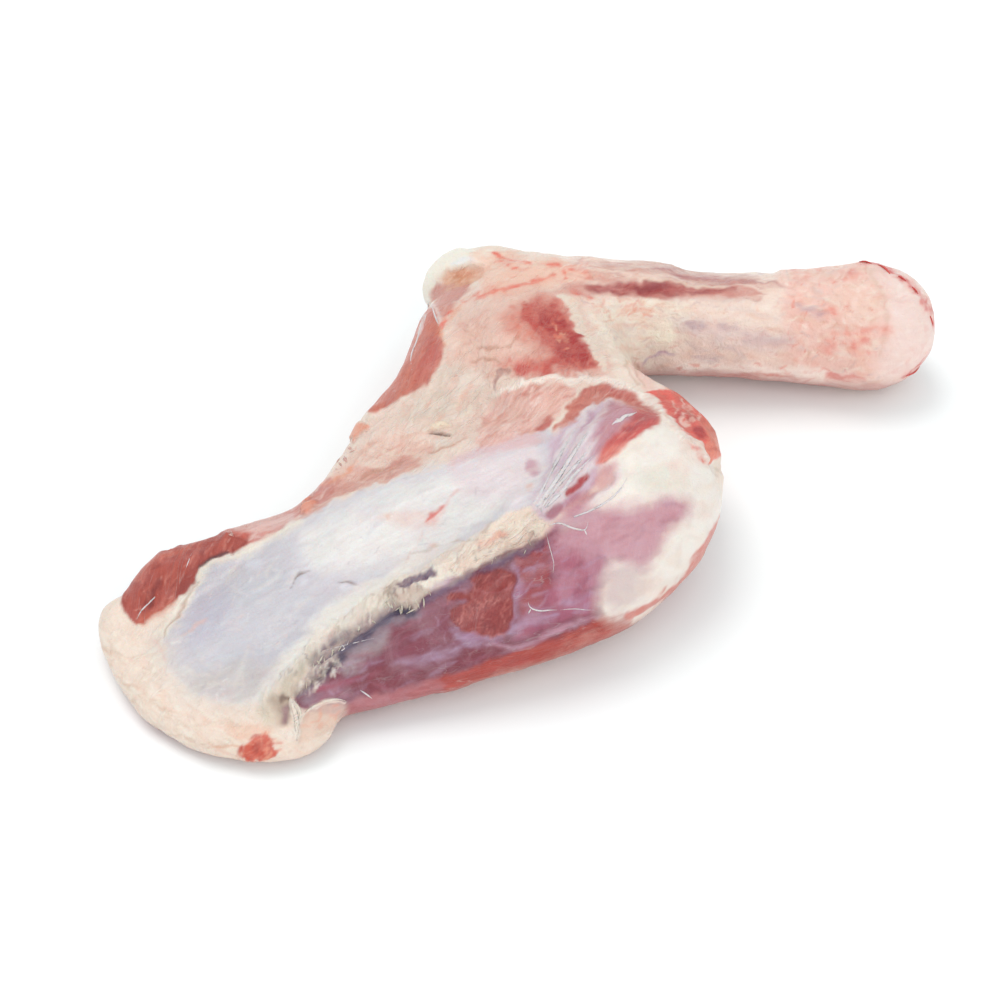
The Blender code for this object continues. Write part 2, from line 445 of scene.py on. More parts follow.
def strokes(colours, outline, count, length, width, angle, spread=0.2, strength=0.4, rise=0.0):
    """Scatters short strokes inside an outline. Lengths are in pixels, the angle in degrees, rise in mm."""
    curve = rounded(outline, closed=True)
    low, high = curve.min(axis=0), curve.max(axis=0)
    spots = chance.uniform(low, high, (count * SPOTS_TRIED, 2))
    spots = spots[distance_inside(spots, curve) > width / 2][:count]
    for spot in spots:
        way = math.radians(angle) + chance.normal(0, spread)
        half = np.array([math.cos(way), -math.sin(way)]) * length * chance.uniform(*STROKE_HALVES)
        bend = chance.normal(0, length * STROKE_BEND, 2)
        brush(colours[chance.integers(len(colours))], line=[spot - half, spot + bend, spot + half],
              width=width * chance.uniform(*STROKE_WIDTHS), soft=width, ragged=width * STROKE_RAGGED,
              strength=strength * chance.uniform(*STROKE_STRENGTHS), rise=rise * chance.uniform(-1, 1))


print("strokes ready")

# %% [markdown]
# First the broad fields: the shank, the fat on the back of the upper arm, and the silver skin, a tough
# blue-grey sheet over the muscle on the blade. Its left part is the bluest, where dark muscle shines
# through, and towards the shoulder point it turns to pearl.

# %% Broad fields
SHANK_SKIN = [(560, 255), (650, 262), (720, 268), (790, 262), (860, 252), (905, 258), (945, 300),
              (945, 345), (915, 385), (870, 392), (800, 388), (740, 384), (690, 386), (660, 392),
              (640, 388), (610, 360), (585, 320)]
ARM_FAT = [(425, 290), (500, 285), (560, 295), (600, 330), (610, 375), (540, 385), (495, 400), (480, 440),
           (420, 470), (360, 460), (340, 455), (375, 410), (410, 370), (425, 330)]
ARM_GREY = [(440, 360), (480, 350), (492, 376), (488, 404), (450, 425), (410, 432), (392, 420), (415, 395)]
RIM = [(104, 614), (130, 618), (160, 634), (172, 672), (200, 698), (240, 706), (280, 700), (300, 712),
       (345, 712), (330, 740), (280, 760), (230, 764), (180, 752), (140, 726), (108, 690), (98, 640)]
SILVER_SKIN = [(164, 638), (169, 626), (182, 607), (196, 583), (205, 568), (222, 560), (246, 550),
               (272, 534), (298, 519), (316, 511), (359, 492), (405, 476), (446, 461), (480, 446),
               (515, 437), (545, 428), (556, 440), (548, 475), (540, 500), (520, 508), (500, 515),
               (486, 528), (470, 543), (445, 556), (415, 570), (390, 584), (360, 602), (335, 622),
               (312, 648), (290, 672), (262, 696), (228, 704), (195, 694), (172, 672)]
BLUE_PART = [(182, 625), (200, 592), (240, 570), (285, 562), (330, 580), (345, 602), (318, 632), (290, 660),
             (255, 682), (222, 682), (196, 660)]
BLUE_DEEP = [(186, 618), (200, 596), (222, 590), (230, 612), (214, 636), (194, 644)]
RIM_FADE = [(160, 642), (170, 668), (192, 692), (226, 704), (262, 700)]
SILVER_LOW = [(196, 688), (230, 702), (262, 692), (284, 670), (252, 664), (214, 668)]
PEARL_PART = [(300, 530), (350, 506), (420, 480), (480, 455), (530, 448), (536, 490), (490, 518),
              (440, 540), (390, 560), (345, 570), (310, 560)]
PINK_PEARL = [(450, 462), (490, 446), (530, 442), (540, 470), (520, 500), (490, 500), (460, 486)]
ROSE_POOL = [(528, 458), (537, 462), (538, 474), (532, 478), (527, 470)]
brush((246, 226, 214), SHANK_SKIN, soft=10, fat=0.55, wrinkle=0.3, run="shank", grain=0.12)
brush((238, 216, 204), ARM_FAT, soft=14, fat=0.55, wrinkle=0.5, run="arm", grain=0.15)
brush((216, 203, 190), ARM_GREY, soft=24, ragged=8, ragged_size=24, strength=0.7, patchy=0.5)
strokes([CREAM, (218, 196, 178), (234, 184, 166), (246, 232, 216)], ARM_FAT, 260, 18, 4, 62, spread=0.55,
        strength=0.55, rise=0.5)
strokes([(248, 240, 230), (222, 198, 182), (240, 206, 192)], RIM[:6] + RIM[-3:], 130, 14, 2.2, -58,
        strength=0.5, rise=0.4)
strokes([(248, 240, 228), (216, 190, 170), (238, 202, 184)], RIM[4:], 260, 20, 2.2, -30, spread=0.3,
        strength=0.55, rise=0.5)
brush(SILVER, SILVER_SKIN, soft=8, ragged=3, fat=0.05, veil=0.5, wrinkle=0.08, run="blade", grain=0.22,
      rise=-0.4)
brush((205, 203, 209), BLUE_PART, soft=34, ragged=12, ragged_size=40, strength=0.8, veil=0.3)
brush((198, 194, 208), BLUE_DEEP, soft=18, ragged=6, ragged_size=20, strength=0.6)
brush((229, 219, 211), line=RIM_FADE, pointed=0.2, width=24, soft=28, ragged=7, ragged_size=20,
      strength=0.7, fat=0.3)
brush((239, 235, 231), PEARL_PART, soft=26, ragged=10, ragged_size=36, strength=0.9, veil=0.6)
brush((235, 220, 222), PINK_PEARL, soft=20, ragged=6, ragged_size=24, strength=0.8)
brush((206, 156, 168), ROSE_POOL, soft=7, ragged=2, strength=0.8)
brush((206, 198, 193), SILVER_LOW, soft=22, ragged=6, strength=0.7)
strokes([(230, 227, 227), (204, 200, 206), (236, 228, 218)], SILVER_SKIN, 150, 34, 4, 30, spread=0.4,
        strength=0.32, rise=0.3)
strokes([(244, 240, 236), (192, 184, 192), (236, 214, 206)], SILVER_SKIN, 170, 8, 1.6, 34, spread=0.7,
        strength=0.55, rise=0.3)
print(len(laid), "layers laid")

# %% [markdown]
# Thin folds and cuts cross the silver skin: two arcs where the sheet puckers, painted as brown shadow
# lines beside raised lips, a red streak of meat that shows through a cut, and specks of orange fat. Its
# upper border is a band of cream sinew, with a dark line painted as shade in the crease along its left part.

# %% Marks in the silver skin
FOLD_ARC_SHADOWS = {"left": [(291, 586), (294, 579), (301, 573), (310, 570)],
             "right": [(336, 584), (347, 581), (358, 585)]}
PUFFS = {"left": [(300, 578), (308, 580)], "right": [(340, 588), (352, 590)],
         "upper": [(246, 566), (262, 562)]}
TOP_BORDER = [(166, 632), (182, 604), (196, 580), (208, 563), (246, 551), (272, 534), (298, 520)]
SHADED_BORDER_CREASE = [(164, 638), (169, 627), (179, 614), (188, 594), (198, 583)]
RED_STREAK = [(425, 522), (433, 515), (442, 506)]
RED_TAIL = [(442, 506), (450, 498), (457, 490)]
BLUSH = [(380, 518), (400, 512), (424, 508), (440, 512), (430, 526), (400, 524)]
ORANGE_SPECKS = {"dot": (432, 546), "left": (385, 517), "far": (527, 487)}
PINK_VEINS = {"rim": [(154, 640), (160, 646), (166, 662)], "cross": [(184, 636), (196, 626), (206, 620)],
              "stem": [(424, 530), (412, 552), (402, 566)], "low": [(300, 660), (330, 634), (352, 614)],
              "long": [(318, 646), (344, 626), (362, 612)]}
brush((240, 231, 219), line=TOP_BORDER, pointed=0.3, width=13, soft=8, ragged=3, fat=0.2, veil=0.2,
      rise=0.6)
# Painted shade: a dark line in the crease along the left part of the top border.
brush((196, 168, 150), line=SHADED_BORDER_CREASE, width=2, soft=3, ragged=1, strength=0.8, rise=-0.8)
brush_each((226, 224, 232), PUFFS, width=10, soft=8, ragged=2, strength=0.6, rise=0.9)
# Painted shadows: brown lines in the two puckers, beside the raised puffs.
brush_each((150, 128, 120), FOLD_ARC_SHADOWS, width=2.0, soft=2.4, ragged=0.6, strength=0.9, rise=-1.0)
brush_each((232, 200, 192), PINK_VEINS, width=2.5, soft=4, ragged=2, strength=0.7, rise=0.15)
brush((238, 212, 202), BLUSH, soft=12, ragged=5, strength=0.7, patchy=0.4)
brush((234, 168, 156), line=RED_STREAK, width=9, soft=9, ragged=4, strength=0.6, patchy=0.3)
brush((222, 110, 94), line=RED_STREAK, width=2.6, soft=3.5, ragged=2.5, ragged_size=5, strength=0.95,
      rise=-0.4)
brush((234, 176, 170), line=RED_TAIL, width=2, soft=5, ragged=3, strength=0.6, patchy=0.3)
for speck in ORANGE_SPECKS.values():
    brush((234, 180, 152), line=[speck, (speck[0] + 3, speck[1] - 1)], pointed=0, width=3, soft=6, ragged=3,
          strength=0.6)
print(len(laid), "layers laid")

# %% [markdown]
# The muscle in front of the spine is the most colourful part: plum on the left, mauve to the right,
# brick red where its veil was cut away. Below it runs a strip of bare orange-red muscle.

# %% The muscle in front of the spine
FRONT_MUSCLE = [(296, 706), (304, 688), (330, 660), (360, 634), (395, 608), (440, 586), (480, 562),
                (520, 546), (545, 532), (575, 516), (608, 510), (644, 506), (657, 499), (668, 496),
                (688, 504), (685, 515), (661, 534), (657, 550), (644, 568), (626, 566), (610, 560),
                (607, 578), (600, 602), (606, 622), (570, 640), (530, 660), (505, 668), (460, 686),
                (400, 704), (345, 718)]
PLUM_RED = [(385, 640), (400, 622), (430, 606), (450, 612), (452, 632), (430, 650), (405, 664), (388, 660)]
CRIMSON = [(350, 690), (352, 676), (372, 664), (400, 668), (440, 664), (480, 650), (510, 650), (470, 668),
           (420, 684), (380, 694)]
MAUVE_PART = [(548, 545), (578, 520), (612, 511), (646, 508), (670, 500), (686, 506), (672, 526),
              (658, 545), (640, 562), (612, 560), (606, 580), (600, 604), (575, 612), (550, 600),
              (556, 575)]
PALE_MAUVE = [(590, 530), (620, 514), (652, 506), (684, 506), (676, 520), (655, 540), (630, 552),
              (605, 550)]
MAUVE_SPREAD = [(592, 502), (624, 494), (656, 482), (690, 482), (712, 498), (704, 530), (680, 556),
                (660, 580), (626, 584), (604, 572), (606, 546), (616, 524)]
LILAC_POOL = [(632, 548), (648, 540), (656, 548), (648, 564), (634, 568)]
MAUVE_TOP = [(556, 540), (580, 520), (612, 512), (650, 506), (680, 502), (690, 510), (664, 530), (652, 550),
             (628, 560), (604, 556), (580, 552)]
MAUVE_LOW = [(528, 606), (552, 590), (580, 594), (598, 606), (580, 616), (550, 626), (528, 640),
             (512, 636)]
GREY_VEIL = [(340, 668), (350, 650), (372, 636), (388, 632), (384, 648), (366, 660), (352, 672)]
DUSKY_ROSE = [(304, 704), (306, 690), (318, 682), (336, 688), (350, 694), (330, 706)]
BARE_STRIP = [(405, 692), (440, 678), (480, 664), (520, 651), (556, 637), (588, 622), (604, 614),
              (630, 612), (630, 636), (604, 652), (572, 666), (534, 684), (500, 694), (440, 706)]
BARE_HOT = [(480, 676), (520, 660), (560, 642), (600, 622), (622, 620), (600, 636), (560, 654), (520, 672)]
LOWER_EDGE = [(345, 708), (360, 696), (400, 690), (440, 682), (440, 706), (400, 718), (350, 726)]
STRIP_BORDER = [(482, 644), (509, 648), (532, 643), (556, 630), (584, 620), (600, 615)]
BRICK_PATCH = [(467, 579), (476, 572), (494, 569), (510, 570), (516, 579), (510, 592), (514, 610),
               (507, 628), (491, 637), (469, 633), (455, 622), (450, 613), (459, 608), (466, 601),
               (450, 600), (451, 595), (466, 592), (475, 586)]
BRICK_SEAMS = {"upper": [(472, 589), (488, 592), (504, 590), (514, 582)],
               "left": [(460, 608), (470, 601), (478, 592)], "curl": [(484, 580), (494, 583), (500, 578)]}
BRICK_DEEP = [(496, 590), (508, 600), (508, 620), (494, 632), (476, 630), (488, 616)]
BRICK_SIDE = [(516, 560), (530, 548), (545, 538), (550, 560), (552, 584), (540, 600), (524, 612),
              (516, 600), (518, 580)]
LILAC_RIMS = {"right": [(512, 562), (520, 580), (516, 604), (512, 626)],
              "low": [(462, 634), (490, 640), (504, 634)], "left": [(444, 588), (470, 566), (500, 560)]}
LILAC_PATCHES = {"long": [(388, 668), (410, 660), (440, 655), (460, 648)],
                 "mid": [(452, 632), (468, 640), (482, 644)], "top": [(420, 592), (446, 580), (470, 570)],
                 "right": [(510, 632), (530, 622), (556, 616)], "far": [(560, 606), (580, 600), (596, 592)]}
brush(PLUM, FRONT_MUSCLE, soft=6, ragged=3, fat=0, veil=0.4, wrinkle=0.05, run="blade", grain=0.45)
brush((148, 74, 92), PLUM_RED, soft=16, ragged=6, ragged_size=18, strength=0.8)
brush((142, 54, 70), CRIMSON, soft=12, ragged=6, ragged_size=18, strength=0.8, patchy=0.3)
brush(MAUVE, MAUVE_PART, soft=16, ragged=6, ragged_size=20, veil=0.45, grain=0.4, run="arm")
brush((216, 170, 177), PALE_MAUVE, soft=18, ragged=6, ragged_size=20, strength=0.85)
brush((208, 178, 198), LILAC_POOL, soft=12, ragged=4, strength=0.7)
brush((182, 104, 130), MAUVE_LOW, soft=12, ragged=5, ragged_size=16, strength=0.8, patchy=0.3)
brush((176, 160, 164), GREY_VEIL, soft=12, ragged=5, ragged_size=16, strength=0.85)
brush((168, 122, 138), DUSKY_ROSE, soft=8, ragged=4, strength=0.8)
brush((174, 84, 90), BRICK_SIDE, soft=9, ragged=4, strength=0.85, veil=0.25)
brush((216, 170, 177), MAUVE_SPREAD, soft=14, ragged=5, strength=0.9, fat=0, veil=0.4)
strokes([(188, 158, 184), (128, 56, 76), (182, 104, 124), (150, 84, 110)], FRONT_MUSCLE, 260, 24, 4, 22,
        spread=0.35, strength=0.42, rise=0.12)
strokes([(196, 164, 188), (140, 66, 84)], FRONT_MUSCLE, 110, 12, 2.2, 100, spread=0.5, strength=0.4,
        rise=0.1)
brush((206, 154, 164), MAUVE_TOP, soft=20, ragged=6, strength=0.6, grain=0.15, run="blade")
brush_each((192, 166, 192), LILAC_PATCHES, width=10, soft=10, ragged=6, strength=0.6, patchy=0.5,
           patch_size=8)
brush((190, 80, 68), BARE_STRIP, soft=7, ragged=3, ragged_size=14, veil=0.12, run="blade", grain=0.8,
      rise=0.4)
brush((186, 66, 52), BARE_HOT, soft=10, ragged=4, strength=0.8)
strokes([(208, 112, 96), (168, 58, 50), (194, 82, 66)], BARE_STRIP, 60, 24, 3, 22, spread=0.15,
        strength=0.5, rise=0.15)
brush((194, 122, 126), LOWER_EDGE, soft=8, ragged=4, strength=0.85)
brush((214, 168, 186), line=STRIP_BORDER, width=5, soft=7, ragged=3, strength=0.75, patchy=0.3)
brush_each((184, 148, 178), LILAC_RIMS, width=8, soft=8, ragged=4, strength=0.65, patchy=0.4)
brush((196, 134, 142), BRICK_PATCH, soft=9, ragged=3, strength=0.5, rise=0.3)
brush((160, 68, 66), BRICK_PATCH, soft=4, ragged=3, ragged_size=7, strength=0.95, veil=0.1, run="arm",
      grain=0.5, rise=-1.0)
brush((152, 56, 56), BRICK_DEEP, soft=10, ragged=4, strength=0.75, patchy=0.2)
strokes([(210, 132, 124), (180, 90, 86), (132, 42, 46)], BRICK_PATCH, 190, 13, 1.4, 66, spread=0.6,
        strength=0.65, rise=0.25)
brush_each((190, 116, 120), BRICK_SEAMS, width=2.0, soft=4, ragged=2, strength=0.7, rise=0.3)
print(len(laid), "layers laid")

# %% [markdown]
# The blade's spine is a ridge of pale sinew where the knife followed the bone. Its lower edge is torn,
# and hangs over a purple groove with a split up its middle. The groove, its split and the pockets in the
# torn edge are painted dark as the shade under the overhang, and the ridge's lower half gets painted
# brown shade. The ridge ends in a blob of gristle, from which sinews fan out.

# %% The spine, its groove and its end
RIDGE = [(266, 706), (280, 688), (294, 671), (308, 653), (322, 637), (340, 624), (360, 611), (380, 599),
         (398, 590), (414, 584)]
RIDGE_BROW = [(262, 698), (282, 672), (300, 648), (318, 628), (338, 608), (360, 594), (382, 583),
              (402, 572)]
RIDGE_TOP = [(260, 698), (280, 672), (298, 649), (316, 629), (338, 610), (362, 595), (388, 582)]
END_TOP = [(392, 575), (416, 562), (440, 553), (464, 546)]
GROOVE_SHADOW = [(333, 655), (346, 646), (362, 634), (377, 623), (390, 614), (402, 611), (414, 612)]
LOWER_GROOVE_SHADOW = [(311, 683), (320, 675), (330, 668), (343, 658)]
RIDGE_SHADE = [(286, 694), (299, 674), (313, 657), (328, 645), (345, 634), (362, 622), (380, 610),
               (394, 603)]
TONGUE = [(292, 692), (304, 676), (318, 665), (330, 657), (339, 652), (336, 660), (322, 670), (308, 684),
          (297, 694)]
TONGUE_SHADE = [(300, 692), (312, 680), (325, 670), (338, 660)]
RIDGE_END = [(372, 604), (395, 592), (420, 582), (446, 568), (475, 554), (505, 539), (530, 527)]
END_SHADE = [(424, 594), (450, 583), (476, 568), (496, 560), (516, 551), (540, 539)]
TORN_CLUSTER = [(384, 594), (396, 586), (410, 588), (428, 590), (422, 602), (415, 610), (404, 606),
                (392, 603)]
GROOVE = [(314, 658), (324, 651), (340, 641), (356, 630), (374, 618), (390, 609), (406, 608)]
LOWER_GROOVE = [(298, 696), (309, 682), (320, 674), (334, 666), (346, 657)]
GROOVE_SHADE = [(306, 692), (324, 668), (342, 650), (364, 634), (388, 619), (414, 612)]
GROOVE_UNDER_END = [(416, 610), (432, 597), (450, 586), (474, 573), (496, 564), (520, 553), (543, 541)]
SHADED_POCKETS = {"left": [(403, 589), (408, 585), (412, 584)], "middle": [(412, 581), (419, 577), (424, 577)],
           "right": [(424, 576), (429, 572), (435, 575)]}
SPINE_END = [(440, 564), (452, 548), (476, 540), (496, 528), (512, 514), (528, 506), (545, 510), (551, 520),
             (542, 534), (520, 546), (500, 554), (480, 563), (460, 572)]
SPINE_SMEAR = [(481, 545), (494, 537), (509, 533)]
SPINE_SEAMS = {"left": [(414, 554), (440, 545), (466, 541), (482, 540)],
               "up": [(482, 540), (486, 528), (494, 520)],
               "crest": [(380, 594), (392, 580), (404, 566), (412, 552)]}
RED_LINE = [(314, 692), (339, 685), (359, 676)]
OLIVE_SHADE = [(278, 694), (290, 678), (302, 662), (308, 666), (298, 684), (290, 700)]
FUR_COLOURS = [(249, 243, 234), (206, 191, 175), (230, 218, 204), (146, 128, 134)]
# Painted shade: the groove is purple muscle, darkened as the shade under the overhanging ridge, and darkest
# along its split.
brush((138, 124, 134), line=GROOVE_SHADE, pointed=0.3, width=20, soft=16, ragged=6, strength=0.85,
      rise=-1.6, veil=0.3)
brush((116, 100, 120), line=GROOVE, pointed=0.3, width=13, soft=8, ragged=4, rise=-2.8, veil=0.2)
brush((88, 76, 100), line=GROOVE[1:], width=7, soft=6, ragged=3, strength=0.85, rise=-0.8)
brush((100, 84, 106), line=LOWER_GROOVE, pointed=0.6, width=9, soft=6, ragged=3, strength=0.9, rise=-2.4)
brush((122, 92, 122), line=GROOVE_UNDER_END, pointed=0.3, width=7, soft=7, ragged=3, strength=0.85,
      rise=-2.0, patchy=0.2)
brush((172, 74, 96), line=RED_LINE, width=6, soft=6, ragged=3, strength=0.75)
brush((232, 228, 222), line=RIDGE_BROW, pointed=0.5, width=15, soft=12, ragged=4, strength=0.85, rise=0.8,
      fat=0.15)
brush((233, 223, 211), line=RIDGE, pointed=0.3, width=11, soft=6, ragged=5, ragged_size=7, rise=1.3,
      veil=0.1, fat=0.1, wrinkle=0.25, edge_run="arm", run="arm", grain=0.2)
brush((184, 166, 160), TONGUE, soft=5, ragged=3, ragged_size=7, rise=1.4, edge_run="arm", fat=0.3)
brush((240, 230, 217), line=RIDGE_END, pointed=0.3, width=20, soft=7, ragged=6, ragged_size=9, rise=1.5,
      veil=0.1, fat=0.15, wrinkle=0.35, edge_run="arm", run="arm", grain=0.25)
brush((210, 194, 182), TORN_CLUSTER, soft=3, ragged=5, ragged_size=6, rise=1.4, edge_run="arm")
brush((239, 225, 209), SPINE_END, soft=10, ragged=5, rise=0.8, veil=0.1, fat=0.5, wrinkle=0.7)
brush((235, 229, 221), line=RIDGE_TOP, pointed=0.4, width=12, soft=16, ragged=5, strength=0.8, fat=0.2)
brush((238, 230, 220), line=END_TOP, pointed=0.4, width=12, soft=16, ragged=5, strength=0.8, fat=0.2)
# Painted shadow: darker bands along the groove where the ridge's torn edge overhangs it.
brush((84, 74, 100), line=GROOVE_SHADOW, pointed=0.4, width=12, soft=6, ragged=4, ragged_size=6,
      strength=0.92, rise=-0.8, edge_run="arm")
brush((92, 80, 104), line=LOWER_GROOVE_SHADOW, pointed=0.6, width=6, soft=5, ragged=3, ragged_size=6, strength=0.9,
      rise=-0.6, edge_run="arm")
# Painted shade: brown along the lower half of the ridge, its tongue and its end.
for shade in (RIDGE_SHADE, TONGUE_SHADE, END_SHADE):
    brush((196, 180, 166), line=shade, pointed=0.4, width=5, soft=6, ragged=3, ragged_size=6, strength=0.6,
          patchy=0.4, patch_size=5, edge_run="arm")
for line in (RIDGE, TONGUE_SHADE, RIDGE_END):
    edge = np.array(line, float)
    band = [tuple(spot) for spot in np.vstack([edge + (-5, -7), (edge + (5, 8))[::-1]])]
    strokes(FUR_COLOURS, band, 110, 8, 2.0, 100, spread=0.5, strength=0.7, rise=0.9)
# The darkest of these strokes are painted shade in the crevices of the torn bunch.
strokes([(146, 124, 112), (246, 238, 226), (186, 168, 150)], TORN_CLUSTER, 40, 7, 1.8, 110, spread=0.8,
        strength=0.75, rise=1.0)
strokes([(248, 240, 230), (216, 198, 180), (232, 214, 200)], SPINE_END, 80, 14, 2.4, 30, spread=0.4,
        strength=0.6, rise=0.6)
# Painted shade: olive-brown below the ridge's left end.
brush((200, 188, 166), OLIVE_SHADE, soft=7, ragged=3, strength=0.5, rise=-0.3)
# Painted shade: the pockets are small dents in the torn edge, dark as the shade inside them.
brush_each((112, 86, 116), SHADED_POCKETS, pointed=0.5, width=8, soft=5, ragged=3, ragged_size=4, strength=0.9,
           rise=-1.4, edge_run="arm")
brush_each((206, 186, 170), SPINE_SEAMS, width=1.8, soft=3, ragged=2, strength=0.7, rise=-0.5)
brush((236, 160, 136), line=SPINE_SMEAR, width=8, soft=7, ragged=5, ragged_size=6, strength=0.8, patchy=0.5,
      patch_size=6)
print(len(laid), "layers laid")

# %% [markdown]
# Round the shoulder point lies a cap of white fat, thick at the edge and thin where the mauve muscle
# shows through. Above it are the red end of the neck muscle and the cut muscles of the upper arm.

# %% The white cap and the cut muscles above it
WHITE_CAP = [(604, 460), (628, 444), (650, 428), (664, 420), (680, 430), (698, 446), (710, 462), (720, 480),
             (727, 505), (722, 526), (708, 546), (694, 566), (668, 596), (644, 610), (628, 617), (604, 615),
             (600, 602), (607, 578), (612, 562), (628, 566), (645, 568), (658, 551), (662, 534), (684, 516),
             (688, 504), (668, 496), (657, 499), (642, 506), (608, 510), (584, 517), (566, 523), (580, 512),
             (598, 498), (612, 484)]
GREEN_TINGE = [(630, 478), (650, 468), (672, 470), (684, 484), (670, 492), (645, 492)]
CAP_BLUSHES = {"upper": [(668, 466), (690, 472)], "right": [(700, 500), (708, 520)],
               "low": [(640, 590), (662, 580)], "edge": [(680, 440), (704, 464)]}
CAP_SHEER = [(606, 570), (630, 566), (650, 572), (640, 596), (616, 608), (604, 600)]
CAP_EDGE = [(720, 516), (713, 533), (704, 549), (692, 566), (675, 586), (656, 601), (640, 611), (626, 619)]
NECK_END = [(643, 396), (659, 388), (685, 394), (706, 403), (722, 414), (728, 432), (722, 450), (712, 465),
            (697, 456), (687, 443), (677, 431), (663, 416), (653, 405)]
NECK_SIDE = [(706, 424), (724, 426), (724, 448), (711, 464), (702, 456), (706, 440)]
NECK_DEEP = [(692, 428), (702, 426), (704, 438), (698, 442)]
NECK_FAT = [(670, 402), (688, 403), (701, 412), (700, 422), (684, 424), (674, 414)]
NECK_RED = [(656, 398), (676, 402), (692, 412), (698, 424), (690, 432), (678, 424), (664, 408)]
UPPER_MUSCLE = [(552, 430), (562, 416), (572, 400), (588, 386), (604, 383), (620, 387), (640, 397),
                (658, 411), (656, 420), (640, 410), (624, 400), (608, 398), (594, 404), (584, 412),
                (568, 424)]
UPPER_DEEP = [(602, 388), (622, 390), (644, 402), (652, 412), (636, 404), (616, 398)]
SALMON_MUSCLE = [(481, 445), (479, 431), (487, 415), (496, 398), (525, 387), (549, 384), (576, 388),
                 (568, 400), (555, 416), (543, 428), (515, 438)]
SALMON_DARK = [(535, 428), (547, 418), (554, 417), (549, 424), (541, 430)]
SALMON_FOOT = [(448, 462), (470, 450), (500, 440), (540, 430), (545, 438), (510, 450), (470, 462)]
RED_HOLLOW = [(600, 461), (603, 448), (613, 436), (626, 425), (640, 413), (652, 411), (658, 420),
              (652, 430), (640, 437), (624, 446), (608, 459)]
HOLLOW_DUSK = [(622, 430), (634, 418), (648, 411), (654, 416), (644, 424), (632, 432)]
HOLLOW_BRIGHT = [(612, 450), (626, 440), (640, 432), (650, 428), (640, 436), (626, 446)]
HOLLOW_PINK = [(598, 463), (604, 450), (614, 444), (622, 448), (610, 460)]
FAN_VEIL = [(534, 510), (541, 480), (548, 450), (560, 432), (584, 412), (604, 400), (628, 404), (642, 410),
            (622, 428), (610, 444), (600, 468), (586, 492), (566, 508), (548, 520)]
FAN_MAUVE = [(592, 440), (602, 416), (614, 402), (638, 402), (650, 412), (636, 420), (620, 432), (606, 450),
             (594, 456)]
FAN_GAPS = {"first": [(556, 486), (568, 466), (580, 446)], "second": [(562, 494), (578, 474), (592, 452)],
            "third": [(566, 444), (580, 426), (594, 412)], "fourth": [(588, 450), (600, 432), (608, 420)]}
FAN_RIBS = {"first": [(535, 503), (550, 473), (565, 446), (579, 423), (592, 406)],
            "second": [(538, 506), (559, 477), (576, 450), (594, 424), (612, 401)],
            "third": [(541, 508), (557, 487), (578, 463), (598, 437), (608, 424)],
            "fourth": [(542, 512), (564, 495), (581, 476), (600, 455), (609, 440)],
            "low": [(562, 514), (588, 504), (608, 490), (622, 472)]}
FAN_DUSK = [(590, 484), (598, 470), (610, 462), (617, 466), (612, 480), (600, 490)]
FAN_SLIT = [(566, 495), (576, 486), (586, 476)]
FAN_ROSE = [(560, 510), (570, 496), (590, 490), (600, 494), (588, 506), (570, 514)]
FAN_SLOT = [(544, 514), (552, 508), (562, 506), (558, 515), (549, 518)]
FAN_LOW = [(548, 530), (556, 518), (580, 508), (600, 508), (592, 518), (566, 526)]
print("outlines of the cap and the cut muscles ready")

# %% [markdown]
# The cap goes on first and the veil of the fan over it. The cut muscles follow from left to right,
# each with darker hollows and short strokes along its fibres.

# %% Paint the cap and the cut muscles
brush((243, 233, 225), WHITE_CAP, soft=24, ragged=9, ragged_size=26, fat=0.25, veil=0.1, wrinkle=0.08,
      rise=0.5)
brush((208, 182, 182), CAP_SHEER, soft=22, ragged=8, strength=0.85, patchy=0.2)
brush((224, 219, 206), GREEN_TINGE, soft=18, strength=0.7)
brush_each((240, 208, 196), CAP_BLUSHES, width=14, soft=16, ragged=6, strength=0.6, patchy=0.4)
strokes([(246, 238, 228), (228, 212, 202), (240, 222, 208)], WHITE_CAP, 110, 20, 6, 40, spread=0.6,
        strength=0.4, rise=0.3)
brush((216, 116, 103), line=CAP_EDGE, pointed=0.5, width=8, soft=5, ragged=4, ragged_size=12, strength=0.85,
      run="blade", grain=0.4)
brush((215, 190, 203), FAN_VEIL, soft=10, ragged=5, veil=0.4, fat=0, run="fan", grain=0.4, wrinkle=0.05)
brush_each((194, 142, 164), FAN_GAPS, width=6, soft=6, ragged=2, strength=0.75, rise=-0.7, edge_run="fan")
brush_each((232, 220, 220), FAN_RIBS, pointed=0.6, width=8, soft=6, ragged=2, strength=0.85, rise=0.9,
           edge_run="fan")
brush((200, 130, 138), FAN_MAUVE, soft=14, ragged=5, strength=0.75, edge_run="fan")
brush((188, 110, 128), FAN_ROSE, soft=10, ragged=5, strength=0.85, rise=-0.5, patchy=0.2, edge_run="fan")
brush((206, 136, 146), FAN_DUSK, soft=14, ragged=5, strength=0.9, patchy=0.2, edge_run="fan")
brush((198, 138, 158), FAN_LOW, soft=8, ragged=3, strength=0.6)
brush((182, 66, 68), line=FAN_SLIT, pointed=0.4, width=6, soft=4, ragged=1, rise=-0.9)
brush((172, 84, 102), FAN_SLOT, soft=6, ragged=3, strength=0.85, rise=-0.8, edge_run="fan")
brush((240, 198, 186), SALMON_MUSCLE, soft=5, ragged=3, fat=0.1, veil=0.2, run="fan", grain=0.5, rise=0.4)
brush((226, 186, 186), SALMON_FOOT, soft=10, ragged=5, strength=0.8, patchy=0.3)
strokes([(246, 222, 212), (210, 134, 118), (234, 188, 172)], SALMON_MUSCLE, 120, 18, 2.6, 38, spread=0.22,
        strength=0.65, rise=0.3)
brush((198, 98, 86), SALMON_DARK, soft=5, ragged=2, strength=0.9, rise=-0.5)
